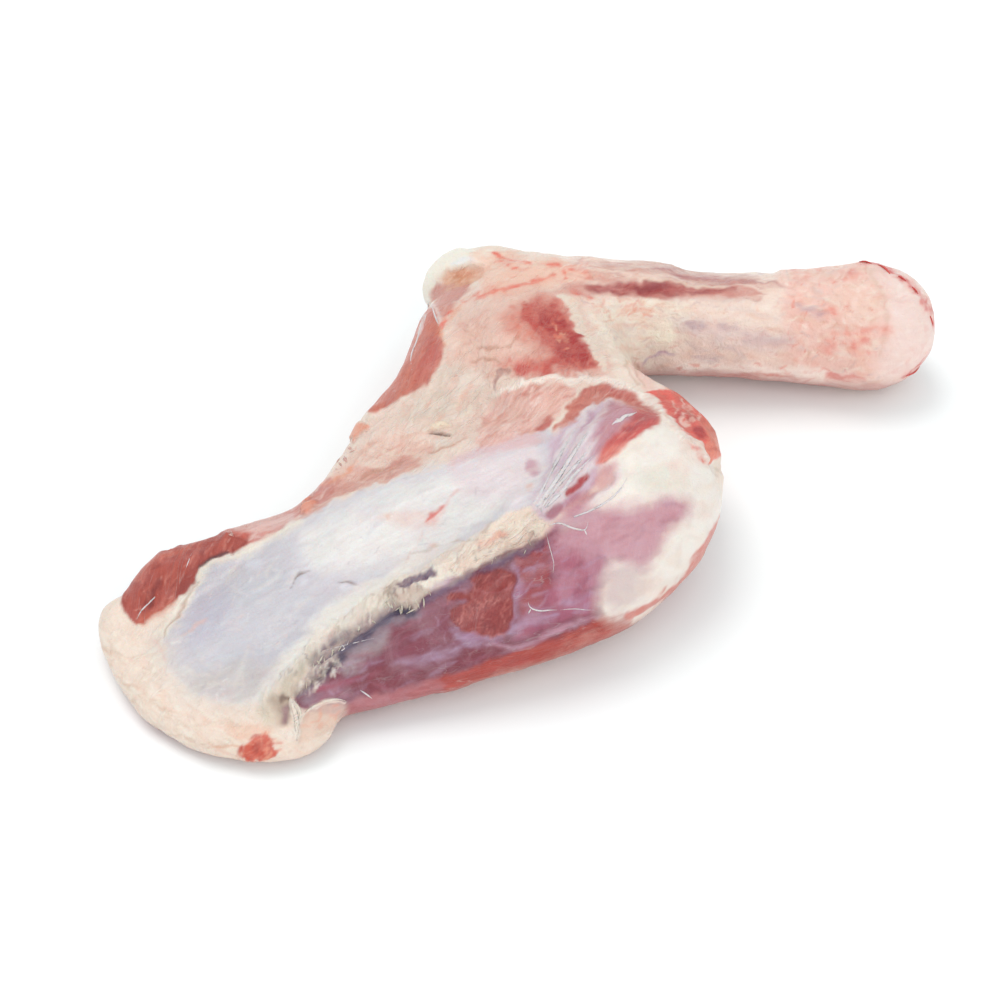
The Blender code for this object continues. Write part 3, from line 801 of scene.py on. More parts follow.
brush((212, 130, 114), UPPER_MUSCLE, soft=5, ragged=3, fat=0.05, veil=0.15, run="fan", grain=0.5)
brush((198, 92, 82), UPPER_DEEP, soft=7, ragged=3, strength=0.8, patchy=0.2)
strokes([(232, 176, 164), (194, 100, 88), (218, 142, 128)], UPPER_MUSCLE, 70, 15, 2.4, 40, spread=0.3,
        strength=0.6, rise=0.25)
brush((212, 102, 98), RED_HOLLOW, soft=8, ragged=3, fat=0, veil=0.1, run="fan", grain=0.4, rise=-1.5)
brush((184, 84, 88), HOLLOW_DUSK, soft=8, ragged=3, strength=0.85)
brush((226, 86, 86), HOLLOW_BRIGHT, soft=6, ragged=3, strength=0.75)
brush((238, 148, 132), HOLLOW_PINK, soft=12, ragged=4, strength=0.85)
strokes([(236, 160, 150), (196, 70, 72), (226, 120, 112)], RED_HOLLOW, 26, 12, 2.4, 36, spread=0.25,
        strength=0.6, rise=0.3)
brush((240, 112, 98), NECK_END, soft=4, ragged=2, fat=0.1, veil=0.1, run="blade", grain=0.5, rise=0.3)
brush((240, 152, 130), NECK_SIDE, soft=5, ragged=2, strength=0.85)
brush((214, 84, 76), NECK_RED, soft=8, ragged=4, strength=0.7, patchy=0.3)
brush((184, 44, 50), NECK_DEEP, soft=6, ragged=3, strength=0.9)
strokes([(228, 132, 116), (196, 70, 62), (214, 104, 90)], NECK_END, 60, 13, 2.4, -35, spread=0.4,
        strength=0.6, rise=0.3)
strokes([(248, 226, 214), (240, 200, 186), (190, 60, 54)], NECK_FAT, 30, 8, 2.8, 20, spread=1.2,
        strength=0.9, rise=0.5)
print(len(laid), "layers laid")

# %% [markdown]
# The muscles on the back of the upper arm lie between the blade and the elbow. Most of them are under
# fat, with a dark red muscle bare beside the shank. A thin band of ivory sinew parts them from the
# cut muscles below.

# %% The back of the upper arm
ARM_PINK = [(448, 335), (466, 308), (505, 292), (545, 292), (552, 330), (535, 360), (500, 370), (466, 370)]
ARM_RED = [(518, 315), (526, 304), (554, 300), (569, 318), (580, 336), (595, 364), (588, 370), (556, 367),
           (553, 373), (529, 375), (511, 373), (511, 365), (536, 360), (550, 354), (541, 343), (528, 326)]
ARM_DEEP = [(540, 312), (556, 308), (568, 318), (578, 334), (588, 350), (594, 365), (578, 369), (562, 360),
            (555, 342), (545, 328)]
ARM_SPREAD = [(506, 318), (520, 300), (556, 294), (576, 318), (590, 344), (602, 368), (560, 376),
              (506, 380), (498, 362), (530, 352), (514, 334)]
ARM_SIDE = [(564, 296), (576, 314), (586, 334), (597, 353), (604, 368)]
ARM_FLECKS = [(552, 322), (562, 326), (570, 342), (566, 352), (556, 342)]
ARM_STRIP = [(368, 410), (380, 379), (394, 354), (404, 334), (413, 311), (429, 305), (440, 328), (442, 347),
             (440, 361), (426, 381), (411, 394), (383, 409)]
ARM_STRIP_DEEP = [(426, 342), (438, 334), (440, 356), (428, 374), (414, 384), (418, 364)]
CUT_STRIP = [(296, 514), (318, 494), (338, 478), (356, 468), (384, 466), (406, 455), (418, 458), (414, 466),
             (384, 480), (340, 496), (316, 512)]
ARM_LOW_PINK = [(344, 458), (362, 446), (384, 438), (412, 438), (434, 446), (416, 456), (384, 462),
                (350, 470), (326, 480)]
REAR_STRIP = [(206, 540), (222, 524), (240, 514), (262, 508), (292, 498), (330, 478), (330, 498),
              (298, 518), (272, 533), (244, 544), (222, 542)]
REAR_PALE = [(236, 524), (262, 517), (292, 512), (292, 522), (264, 532), (244, 534)]
REAR_RED = [(222, 540), (236, 533), (250, 534), (248, 541), (230, 544)]
SINEW_BAND = [(497, 394), (520, 384), (545, 377), (576, 380), (600, 380), (620, 386), (643, 397),
              (661, 411), (677, 429), (694, 446), (707, 460)]
PIT = [(495, 378), (497, 372), (506, 371), (512, 377), (520, 381), (508, 388), (497, 394)]
PIT_TOP_SHADE = [(496, 380), (500, 374), (508, 372)]
PIT_RIM_SHADE = [(496, 392), (495, 380), (498, 372), (507, 370)]
SHADED_CREASES = {"upper": [(477, 347), (492, 349), (509, 345), (520, 335)],
           "lower": [(470, 362), (486, 360), (500, 362)], "low left": [(389, 474), (396, 467), (405, 459)],
           "far left": [(360, 478), (374, 470), (386, 468)],
           "blade side": [(430, 452), (446, 446), (466, 438)]}
ORANGE_LINES = {"rear": [(319, 485), (337, 480), (351, 467)], "arm": [(442, 312), (440, 326), (444, 344)],
                "elbow": [(447, 322), (456, 312), (463, 304)]}
FAT_KNOBS = {"far": [(353, 438), (358, 430), (366, 427)], "near": [(304, 512), (308, 507), (312, 503)]}
SLIT = [(429, 433), (440, 433), (450, 437)]
SLIT_LIPS = [(430, 429), (440, 424), (451, 427)]
SLIT_PALE = [(430, 440), (440, 443), (447, 441)]
print("outlines of the arm ready")

# %% [markdown]
# Pink fat comes first and the red muscle over it. The pale strips, the creases, the slit and the band of
# sinew lie on top, so they are laid last. The creases and the slit are painted dark as the shade inside
# them, and the pit at the band's start gets painted shade along its upper left rim.

# %% Paint the back of the upper arm
brush((236, 198, 184), ARM_PINK, soft=26, ragged=8, ragged_size=24, strength=0.9, fat=0.3, blood=0.1)
strokes([(242, 212, 196), (222, 164, 148), (236, 192, 172)], ARM_PINK, 80, 15, 4.5, 40, spread=0.9,
        strength=0.5, rise=0.35)
brush((222, 142, 126), ARM_SPREAD, soft=24, ragged=9, ragged_size=22, strength=0.8, patchy=0.2)
brush((204, 84, 74), ARM_RED, soft=12, ragged=8, ragged_size=14, fat=0.1, blood=0.35, run="arm", grain=0.3,
      patchy=0.2, patch_size=10)
brush((182, 42, 44), ARM_DEEP, soft=9, ragged=6, ragged_size=10, strength=0.95, fat=0, patchy=0.1)
strokes([(196, 64, 56), (226, 134, 114), (212, 100, 84)], ARM_SPREAD, 130, 10, 2.8, 64, spread=0.8,
        strength=0.55, rise=0.35)
strokes([(242, 178, 150), (232, 128, 104)], ARM_FLECKS, 24, 5, 2.6, 60, spread=1.2, strength=0.85,
        rise=0.5)
brush((238, 222, 207), line=ARM_SIDE, pointed=0.2, width=10, soft=3, ragged=3, ragged_size=7, strength=0.95,
      fat=0.4)
brush((212, 124, 104), ARM_STRIP, soft=4, ragged=2, fat=0.05, veil=0.25, run="arm", grain=0.7)
brush((200, 96, 80), ARM_STRIP_DEEP, soft=10, ragged=4, strength=0.8)
brush((222, 168, 154), CUT_STRIP, soft=7, ragged=4, fat=0.2, veil=0.3, run="blade", grain=0.5)
brush((216, 150, 140), REAR_STRIP, soft=5, ragged=3, fat=0.1, veil=0.3, run="blade", grain=0.6)
brush((234, 206, 200), REAR_PALE, soft=7, ragged=3, strength=0.8, patchy=0.2)
brush((206, 96, 80), REAR_RED, soft=6, ragged=3, strength=0.85)
brush((228, 188, 174), ARM_LOW_PINK, soft=10, ragged=5, strength=0.8, patchy=0.4, fat=0.3)
strokes([(240, 214, 200), (206, 136, 120), (230, 184, 168)], CUT_STRIP, 80, 16, 2, 24, spread=0.2,
        strength=0.65, rise=0.35)
strokes([(242, 218, 208), (204, 128, 118), (230, 190, 180)], REAR_STRIP, 80, 18, 2, 24, spread=0.2,
        strength=0.6, rise=0.35)
strokes([(244, 226, 212), (222, 168, 152), (238, 206, 190)], ARM_LOW_PINK, 70, 14, 2.2, 24, spread=0.4,
        strength=0.6, rise=0.4)
brush_each((236, 156, 126), FAT_KNOBS, pointed=0.4, width=8, soft=4, ragged=3, ragged_size=6, strength=0.9,
           rise=2.4)
# Painted shade: dark lines in the creases.
brush_each((206, 156, 136), SHADED_CREASES, width=2.6, soft=3.5, ragged=2, strength=0.75, rise=-0.9)
brush_each((236, 164, 132), ORANGE_LINES, width=3.5, soft=5, ragged=3, strength=0.75, patchy=0.3,
           patch_size=6)
brush((242, 224, 202), line=SLIT_LIPS, width=6, soft=4, ragged=2, rise=1.4)
brush((238, 228, 218), line=SLIT_PALE, width=6, soft=4, ragged=2, strength=0.8, rise=0.4)
# Painted shadow: near-black brown inside the slit, between its raised lips.
brush((104, 74, 64), line=SLIT, width=2.6, soft=2.5, ragged=1, rise=-2.2)
brush((250, 238, 228), line=SINEW_BAND, pointed=0.3, width=8, soft=5, ragged=4, rise=1.0, fat=0.5,
      wrinkle=0.6)
brush((240, 220, 206), PIT, soft=14, ragged=5, ragged_size=6, strength=0.85, rise=-0.8, fat=0.3)
# Painted shade: brown along the pit's upper left wall, and a darker line on its rim there.
brush((182, 134, 128), line=PIT_TOP_SHADE, pointed=0.6, width=4, soft=4, ragged=2, strength=0.7, rise=-0.6)
brush((168, 128, 126), line=PIT_RIM_SHADE, width=2.2, soft=3, ragged=1, strength=0.8, rise=-0.5)
print(len(laid), "layers laid")

# %% [markdown]
# At the blade's end the cut muscle behind it shows its fibres, brick red, with a dark slit. Painted shade
# darkens its lower right, and a dark line painted as shadow marks the gap along its upper edge. The rim of
# the blade is cartilage under cream skin, with a trimmed red spot. Next to it is a recess, painted as a
# shaded hollow with a dark shadow line along its top. It is partly covered by loose folds, which are
# raised layers here and get their thin edges as pieces later.

# %% The blade's end
REAR_MUSCLE = [(122, 604), (124, 580), (134, 562), (156, 542), (188, 532), (216, 530), (244, 540),
               (241, 550), (224, 556), (203, 563), (195, 580), (178, 598), (160, 610), (136, 624)]
REAR_SHADE = [(176, 596), (186, 576), (196, 564), (210, 558), (200, 566), (192, 582)]
REAR_SLIT = [(148, 606), (153, 594), (158, 580)]
REAR_GAP_SHADOW = [(200, 568), (206, 562), (214, 558), (228, 554)]
REAR_RIMS = {"upper": [(134, 582), (146, 567), (164, 554), (192, 547)],
             "lower": [(136, 622), (160, 611), (178, 599)]}
RED_SPOT = [(240, 749), (251, 744), (262, 734), (270, 741), (270, 748), (276, 753), (265, 759), (243, 759)]
SPOT_ROUND = [(236, 752), (250, 742), (262, 730), (276, 736), (282, 752), (268, 764), (244, 764)]
RED_SPOT_DEEP = [(250, 750), (258, 744), (264, 748), (258, 756)]
RECESS = [(270, 702), (280, 696), (290, 697), (291, 708), (288, 722), (280, 724), (275, 714)]
RECESS_DEEP_SHADE = [(280, 706), (287, 704), (287, 720), (281, 722)]
FLAP_SKIN = [(289, 697), (296, 702), (303, 714), (300, 727), (299, 742), (294, 740), (293, 724),
             (290, 709)]
FLAP_FORK = [(276, 726), (286, 729), (294, 728), (296, 738), (286, 736)]
FLAP_FOLD = [(300, 719), (306, 712), (313, 707), (324, 702), (336, 699), (347, 701)]
RECESS_TOP_SHADOW = [(277, 702), (284, 696), (291, 698)]
OLIVE = [(258, 716), (266, 700), (277, 698), (277, 722), (266, 722)]
RIM_FACE = [(112, 692), (128, 714), (155, 738), (185, 754), (215, 763), (250, 765)]
RIM_LINE = [(206, 746), (224, 748), (241, 748)]
RIM_BLUSH = [(228, 728), (250, 722), (272, 728), (262, 736), (240, 740)]
FLAP_FLOOR = [(303, 716), (316, 704), (340, 700), (350, 706), (340, 720), (320, 734), (300, 742)]
brush((186, 92, 78), REAR_MUSCLE, soft=3, ragged=1.5, fat=0, veil=0.1, wrinkle=0, run="arm", grain=0.7,
      rise=0.9)
strokes([(214, 134, 118), (154, 60, 54), (192, 94, 80)], REAR_MUSCLE, 140, 14, 2.2, 68, spread=0.25,
        strength=0.65, rise=0.3)
strokes([(236, 180, 168), (226, 150, 134)], REAR_MUSCLE, 26, 7, 1.4, 60, spread=0.5, strength=0.7,
        rise=0.3)
# Painted shade: the rear muscle darker towards its lower right.
brush((160, 66, 58), REAR_SHADE, soft=8, ragged=3, strength=0.7)
brush((146, 60, 56), line=REAR_SLIT, width=6, soft=6, ragged=2, strength=0.85, rise=-1.5)
brush_each((220, 128, 106), REAR_RIMS, width=9, soft=8, ragged=3, strength=0.65, patchy=0.2)
# Painted shadow: a dark line in the gap along the rear muscle's upper edge.
brush((124, 84, 86), line=REAR_GAP_SHADOW, width=3, soft=3, ragged=1, rise=-1.8)
brush((232, 214, 192), line=RIM_FACE, pointed=0.3, width=12, soft=6, ragged=2, strength=0.75, wrinkle=0.05,
      fat=0.2, rise=0.4)
brush((226, 176, 148), line=RIM_LINE, width=2.4, soft=3, ragged=1, strength=0.8, rise=-0.4)
brush((238, 200, 178), RIM_BLUSH, soft=10, ragged=5, strength=0.7)
brush((208, 82, 58), RED_SPOT, soft=4, ragged=5, ragged_size=6, blood=0.3, rise=0.5, edge_run="fan")
brush((176, 54, 42), RED_SPOT_DEEP, soft=5, ragged=3, strength=0.8)
strokes([(222, 96, 70), (238, 168, 140), (184, 54, 40)], SPOT_ROUND, 60, 9, 2.2, 46, spread=0.5,
        strength=0.7, rise=0.4)
# Painted shade: olive-grey fading out to the left of the recess, the dented recess itself, purple-grey
# deepest inside, and a dark shadow line along its top.
brush((212, 202, 182), OLIVE, soft=12, ragged=3, strength=0.6)
brush((188, 168, 152), RECESS, soft=9, ragged=2, rise=-2.0, wrinkle=0)
brush((164, 126, 132), RECESS_DEEP_SHADE, soft=6, ragged=1, rise=-0.8, strength=0.85)
brush((132, 104, 92), line=RECESS_TOP_SHADOW, width=3, soft=3, ragged=1, strength=0.85, rise=-0.5)
brush((232, 206, 190), FLAP_FLOOR, soft=8, ragged=4, strength=0.8)
strokes([(240, 170, 142), (238, 206, 188), (222, 180, 164)], FLAP_FLOOR, 26, 10, 3.4, 30, spread=0.6,
        strength=0.7, rise=0.3)
brush((240, 225, 213), FLAP_SKIN, soft=3, ragged=1.5, ragged_size=6, rise=1.6, edge_run="arm")
brush((242, 228, 217), FLAP_FORK, soft=4, ragged=3, ragged_size=6, strength=0.85, rise=0.9, edge_run="arm")
brush((242, 224, 211), line=FLAP_FOLD, width=5, soft=3, ragged=2, ragged_size=6, rise=1.2)
print(len(laid), "layers laid")

# %% [markdown]
# The elbow has an ivory cap of gristle over a brown hollow, and a haze of blood. A smear of blood is two
# layers: a wide pale one that stains the fat, and a thin broken bright one along its middle.

# %% The elbow
ELBOW_CAP = [(421, 304), (424, 276), (430, 260), (448, 249), (480, 245), (490, 250), (484, 263), (465, 265),
             (450, 267), (440, 276), (434, 288), (432, 303)]
ELBOW_BLUE = [(450, 263), (464, 260), (477, 262)]
ELBOW_HOLLOW = [(440, 284), (449, 269), (465, 266), (483, 268), (479, 276), (465, 283), (448, 287)]
HOLLOW_BROWN = [(448, 281), (460, 275), (474, 271)]
BELOW_HOLLOW = [(433, 292), (442, 286), (460, 284), (474, 281), (468, 291), (456, 303), (447, 316),
                (438, 314), (434, 303)]
ELBOW_STRIPS = {"outer": [(427, 300), (423, 318), (420, 336)],
                "inner": [(433, 304), (437, 314), (441, 324)]}
BLOOD_HAZE = [(470, 252), (500, 250), (540, 256), (580, 260), (606, 268), (604, 280), (566, 286),
              (520, 290), (486, 292), (478, 276)]
SMEARS = {"arm": [(463, 303), (479, 295), (492, 292), (508, 288), (526, 284)],
          "on": [(526, 284), (544, 279), (556, 275)], "top": [(500, 255), (506, 264), (518, 268)],
          "top edge": [(490, 250), (508, 256), (530, 262)], "middle": [(549, 265), (558, 266), (566, 266)],
          "right": [(568, 268), (580, 271), (592, 276)], "drip": [(563, 270), (565, 279)],
          "lower": [(570, 292), (580, 296), (592, 298)], "spatter": [(596, 318), (599, 310), (602, 304)],
          "spread": [(622, 312), (632, 306), (648, 312)], "dots": [(612, 326), (620, 330), (626, 334)],
          "left": [(441, 330), (444, 318), (452, 310)]}
brush((244, 234, 221), ELBOW_CAP, soft=7, ragged=3, fat=0.1, wrinkle=0.05, rise=0.5)
brush((226, 228, 234), line=ELBOW_BLUE, width=5, soft=6, ragged=1, strength=0.6)
brush((228, 176, 150), ELBOW_HOLLOW, soft=8, ragged=3, rise=-1.8, fat=0.2, run="shank", grain=0.3)
brush((208, 136, 94), line=HOLLOW_BROWN, width=5, soft=6, ragged=4, ragged_size=5, strength=0.8, patchy=0.3,
      patch_size=6)
strokes([(206, 132, 96), (240, 204, 180), (224, 160, 130)], ELBOW_HOLLOW, 26, 9, 2, 20, spread=0.3,
        strength=0.6, rise=0.3)
brush((214, 154, 142), BELOW_HOLLOW, soft=6, ragged=3, fat=0.1, veil=0.25, run="arm", grain=0.4, rise=-0.4)
brush_each((236, 218, 214), ELBOW_STRIPS, width=5, soft=4, ragged=2, strength=0.85, rise=0.5)
brush((243, 196, 176), BLOOD_HAZE, soft=14, ragged=6, strength=0.8, patchy=0.3)
strokes([(238, 132, 108), (246, 218, 202), (228, 104, 82), (240, 176, 154)], BLOOD_HAZE, 120, 10, 1.8, 14,
        spread=0.35, strength=0.5, rise=0.25)
for smear in SMEARS.values():
    brush((240, 168, 144), line=smear, width=12, soft=12, ragged=6, strength=0.45, patchy=0.4)
    brush((234, 82, 56), line=smear, width=3.2, soft=4.5, ragged=4, ragged_size=6, strength=0.85, blood=0.6,
          patchy=0.4, patch_size=5)
print(len(laid), "layers laid")

# %% [markdown]
# The shank's muscles show as dark streaks under its skin, with blue-grey where sinew lies over them. Its
# end is the sawn knee: a flat pink face with a ragged red rim. Only the rim is bloody, so the face gets a
# wide soft layer and each part of the rim a wide pale and a thin bright one, like the smears.

# %% The shank and the knee's end
CREAM_SHANK = [(592, 306), (620, 300), (680, 304), (690, 330), (660, 350), (640, 372), (612, 366),
               (598, 340)]
PEACH_SHANK = [(690, 350), (740, 344), (790, 346), (800, 370), (740, 378), (690, 376)]
PINK_KNEE = [(786, 268), (850, 256), (880, 262), (892, 300), (890, 340), (874, 376), (820, 380), (790, 366),
             (784, 320)]
KNEE_PEACH = [(834, 290), (866, 282), (884, 300), (880, 322), (850, 322), (836, 308)]
FAR_BAND = [(600, 264), (640, 266), (690, 271), (734, 276), (764, 280)]
FAR_LINE = [(650, 268), (690, 273), (730, 278), (764, 282), (784, 285)]
SHANK_UNDER_PAINTED_LIGHT = [(668, 366), (700, 362), (760, 364), (820, 368), (860, 376), (840, 392), (780, 390),
               (690, 390)]
DARK_MUSCLE = [(588, 289), (606, 285), (635, 283), (660, 280), (679, 286), (709, 288), (734, 289),
               (731, 293), (684, 294), (664, 296), (642, 297), (622, 294), (602, 292)]
DARK_LINE = [(560, 290), (610, 288), (670, 288), (730, 291), (764, 293)]
SHANK_BLOOD = [(590, 302), (612, 298), (648, 302), (652, 314), (630, 318), (604, 316), (590, 312)]
SHANK_TOP = [(590, 262), (640, 264), (700, 272), (770, 280), (772, 296), (700, 300), (620, 302),
             (574, 298)]
DARK_CORE = [(632, 288), (646, 284), (662, 283), (668, 288), (656, 293), (640, 294)]
SINEW_LINE = [(622, 278), (650, 280), (690, 284), (729, 286)]
PALE_LINES = {"upper": [(668, 298), (690, 298), (730, 300), (760, 302)],
              "mid": [(700, 306), (740, 310), (774, 318)]}
BLUE_HAZE = [(678, 318), (710, 318), (760, 328), (790, 338), (776, 350), (720, 344), (684, 334)]
BLUE_STREAKS = {"first": [(690, 324), (697, 326), (704, 328)],
                "second": [(722, 326), (730, 328), (739, 329)],
                "fourth": [(744, 334), (760, 338), (779, 342)],
                "third": [(696, 356), (708, 358), (718, 361)], "knee": [(800, 308), (812, 312), (824, 314)],
                "face": [(892, 296), (897, 300), (901, 305)]}
PURPLE_CRESCENT = [(642, 367), (647, 359), (659, 354), (674, 354)]
YELLOW_HIGHLIGHT = [(652, 330), (660, 321), (672, 326), (674, 340), (664, 347), (654, 342)]
SHADED_BEND_FOLDS = {"first": [(627, 358), (630, 370), (638, 384)], "second": [(636, 360), (638, 372), (646, 386)]}
BEND_PINK = [(632, 364), (640, 362), (648, 374), (654, 386), (644, 388), (636, 378)]
LOWER_LINE = [(668, 378), (700, 376), (734, 375), (774, 375), (822, 378)]
KNEE_FACE = [(872, 270), (890, 262), (915, 276), (936, 310), (940, 335), (930, 364), (900, 384), (872, 388),
             (880, 356), (886, 322), (882, 292)]
FACE_EDGE = [(864, 264), (878, 282), (886, 305), (886, 330), (878, 362)]
KNEE_RIMS = {"top": [(856, 261), (870, 261), (882, 263), (890, 270)],
             "upper": [(890, 270), (906, 279), (918, 292)], "right": [(918, 292), (931, 312), (937, 332)],
             "low": [(936, 346), (926, 362), (904, 377)], "left": [(794, 268), (800, 266), (808, 266)]}
KNEE_ARC = [(846, 332), (856, 333), (868, 330), (876, 326)]
KNEE_SPOTS = {"left": (828, 347), "middle": (853, 347), "upper": (832, 311), "right": (864, 340),
              "tuft": (850, 272), "low": (884, 330)}
LOWER_RED = [(824, 376), (842, 378), (866, 378)]
print("outlines of the shank ready")

# %% [markdown]
# The skin's soft colours come first and the streaks of muscle over them. The knee's face and its rim
# are laid last, because the rim is the sharpest edge.

# %% Paint the shank and the knee's end
brush((244, 232, 216), CREAM_SHANK, soft=16, ragged=8, ragged_size=22, strength=0.8)
brush((247, 220, 207), PEACH_SHANK, soft=16, ragged=8, ragged_size=22, strength=0.8)
brush((243, 202, 190), PINK_KNEE, soft=22, ragged=10, ragged_size=30, fat=0.3, blood=0.1, wrinkle=0.1)
strokes([(250, 236, 222), (232, 182, 164), (242, 204, 184), (220, 202, 200)], SHANK_SKIN, 260, 22, 4, -3,
        spread=0.3, strength=0.6, rise=0.3)
strokes([(252, 242, 228), (230, 170, 150), (208, 184, 186), (246, 214, 190)], SHANK_SKIN, 340, 9, 1.8, -3,
        spread=0.6, strength=0.7, rise=0.35)
brush((243, 213, 198), KNEE_PEACH, soft=14, ragged=6, strength=0.5)
strokes([(250, 220, 210), (240, 168, 152), (246, 228, 214), (232, 184, 164)], PINK_KNEE, 150, 14, 4, 20,
        spread=1.2, strength=0.6, rise=0.35)
strokes([(250, 232, 222), (234, 128, 112), (228, 178, 158)], PINK_KNEE, 170, 7, 1.8, -20, spread=1.0,
        strength=0.65, rise=0.35)
brush((214, 172, 160), line=FAR_BAND, width=14, soft=7, ragged=4, strength=0.85, veil=0.3, run="shank",
      grain=0.5)
strokes([(200, 126, 118), (240, 214, 200), (224, 172, 158)], SHANK_TOP, 110, 34, 2.6, -4, spread=0.06,
        strength=0.6, rise=0.3)
brush((186, 110, 110), line=FAR_LINE, width=6, soft=5, ragged=3, strength=0.85, patchy=0.25,
      edge_run="shank")
# Painted light: the shank's underside is made paler so that it stays as bright as the top, though it faces
# down, away from the lights.
brush((254, 238, 229), SHANK_UNDER_PAINTED_LIGHT, soft=14, ragged=5, strength=0.85)
strokes([(234, 126, 96), (240, 178, 152), (228, 104, 84)], SHANK_BLOOD, 34, 7, 2.2, 20, spread=0.6,
        strength=0.6, rise=0.2)
brush((208, 142, 132), line=DARK_LINE, width=18, soft=9, ragged=4, strength=0.7, edge_run="shank")
brush((180, 76, 74), DARK_MUSCLE, soft=8, ragged=3.5, fat=0, veil=0.2, run="shank", grain=0.7, patchy=0.2,
      patch_size=8)
strokes([(158, 60, 62), (216, 150, 140), (188, 96, 92)], DARK_MUSCLE, 60, 26, 1.8, -2, spread=0.05,
        strength=0.65, rise=0.2)
brush((160, 58, 62), DARK_CORE, soft=6, ragged=3, strength=0.85)
brush((240, 218, 200), line=SINEW_LINE, width=3, soft=3, ragged=1.5, strength=0.75, rise=0.3)
brush_each((232, 216, 210), PALE_LINES, width=4, soft=5, ragged=2, strength=0.6)
brush((216, 194, 197), BLUE_HAZE, soft=16, ragged=8, ragged_size=16, strength=0.6, patchy=0.4)
brush_each((196, 168, 176), BLUE_STREAKS, pointed=0.6, width=8, soft=8, ragged=6, ragged_size=6,
           strength=0.7, patchy=0.5, patch_size=5, edge_run="shank")
brush((196, 166, 192), line=PURPLE_CRESCENT, width=3, soft=4, ragged=1, strength=0.8, rise=-0.7)
# Painted highlight: a bright yellow-white spot on the shank near the bend.
brush((255, 246, 228), YELLOW_HIGHLIGHT, soft=9, ragged=6, ragged_size=7, strength=0.95, patchy=0.2,
      patch_size=7)
brush((244, 206, 194), BEND_PINK, soft=6, ragged=3, strength=0.8)
# Painted shade: dark lines in the two folds at the bend.
brush_each((212, 178, 156), SHADED_BEND_FOLDS, width=2.4, soft=3.5, ragged=1, strength=0.7, rise=-0.9)
brush((214, 120, 104), line=LOWER_LINE, width=3, soft=5, ragged=2, strength=0.75, patchy=0.35)
strokes([(240, 150, 128), (252, 234, 220), (226, 110, 92)], SHANK_UNDER_PAINTED_LIGHT, 60, 9, 2.0, 4, spread=0.4,
        strength=0.6, rise=0.3)
brush((245, 219, 212), KNEE_FACE, soft=30, ragged=8, ragged_size=18, fat=0.15, veil=0, wrinkle=0.1,
      strength=0.85, rise=-0.4)
brush((224, 190, 172), line=FACE_EDGE, width=4, soft=6, ragged=3, ragged_size=8, strength=0.6, patchy=0.3,
      rise=-0.4)
strokes([(252, 236, 230), (238, 190, 182), (246, 214, 204)], KNEE_FACE, 60, 12, 3, 60, spread=0.8,
        strength=0.5, rise=0.3)
brush((226, 118, 108), line=LOWER_RED, width=8, soft=6, ragged=3, strength=0.75, patchy=0.3)
for rim in KNEE_RIMS.values():
    brush((238, 160, 152), line=rim, width=7, soft=8, ragged=4, strength=0.6, patchy=0.3, patch_size=8)
    brush((214, 78, 80), line=rim, pointed=0.5, width=3, soft=3.5, ragged=3, ragged_size=5, strength=0.85,
          patchy=0.35, patch_size=5)
brush((240, 160, 144), line=KNEE_ARC, width=5, soft=8, ragged=3, strength=0.7)
for spot in KNEE_SPOTS.values():
    brush((240, 158, 144), line=[spot, (spot[0] + 4, spot[1])], pointed=0, width=11, soft=14, ragged=6,
          strength=0.55)
    brush((230, 110, 96), line=[spot, (spot[0] + 2, spot[1] + 1)], pointed=0, width=3, soft=6, ragged=3,
          strength=0.45, patchy=0.3, patch_size=4)
print(len(laid), "layers laid,", sum(laid), "points touched")

# %% [markdown]
# In four places the meat is a little slimmer than the solid: at the waist of the shank, above the cut
# muscle behind the blade, in the notch below the neck muscle, and on top of the elbow. A wide layer
# without colour sinks them.

# %% Slimmer places
SLIMMER = {"waist": [(680, 272), (720, 270), (770, 270)],
           "behind the blade": [(172, 550), (196, 540), (216, 532)], "notch": [(712, 464), (722, 468)],
           "elbow": [(470, 246), (498, 247), (526, 250)]}
SINKS = {"waist": (22, -3.0), "behind the blade": (22, -3.5), "notch": (12, -3.5), "elbow": (22, -2.5)}
for name, place in SLIMMER.items():
    width, rise = SINKS[name]
    brush(None, line=place, pointed=0.4, width=width, soft=14, ragged=2, rise=rise)
print(len(laid), "layers laid")

# %% [markdown]
# The side that lies on the table can't be seen from the camera, but it is still there when the meat is
# looked at from below. It gets what the inner side of a shoulder has: dark muscle under a thin veil,
# and cream fat where it meets the edges.

# %% The inner side
DOWN_FROM = 0.25
DOWN_FADE = 0.5
INNER_FAT = (226, 196, 180)
INNER_FLESH = (196, 122, 116)
INNER_PATCH = 0.06
INNER_SEED = 91
MORE_FLESH = 0.6
INNER_STRENGTH = 0.85
INNER_GRAIN = 0.4
INNER_VEIL = 0.5
downward = soft_step((-normals[:, 2] - DOWN_FROM) / DOWN_FADE)
flesh = soft_step(rough_noise(places, INNER_PATCH, INNER_SEED) + MORE_FLESH)[:, None]
inner = (1 - flesh) * screen(*INNER_FAT) + flesh * screen(*INNER_FLESH)
tint += (inner - tint) * downward[:, None] * INNER_STRENGTH
runs[:, RUNS["blade"]] += downward * INNER_GRAIN
finish[:, FINISHES["veil"]] += (INNER_VEIL - finish[:, FINISHES["veil"]]) * downward
print(int(downward.sum()), "points face down")

# %% [markdown]
# Raw meat is never smooth: the layers have left steps at their edges, and three sizes of soft lumps are
# added to them, most where the meat is fatty. The table presses the underside flat, so no point goes
# below it.

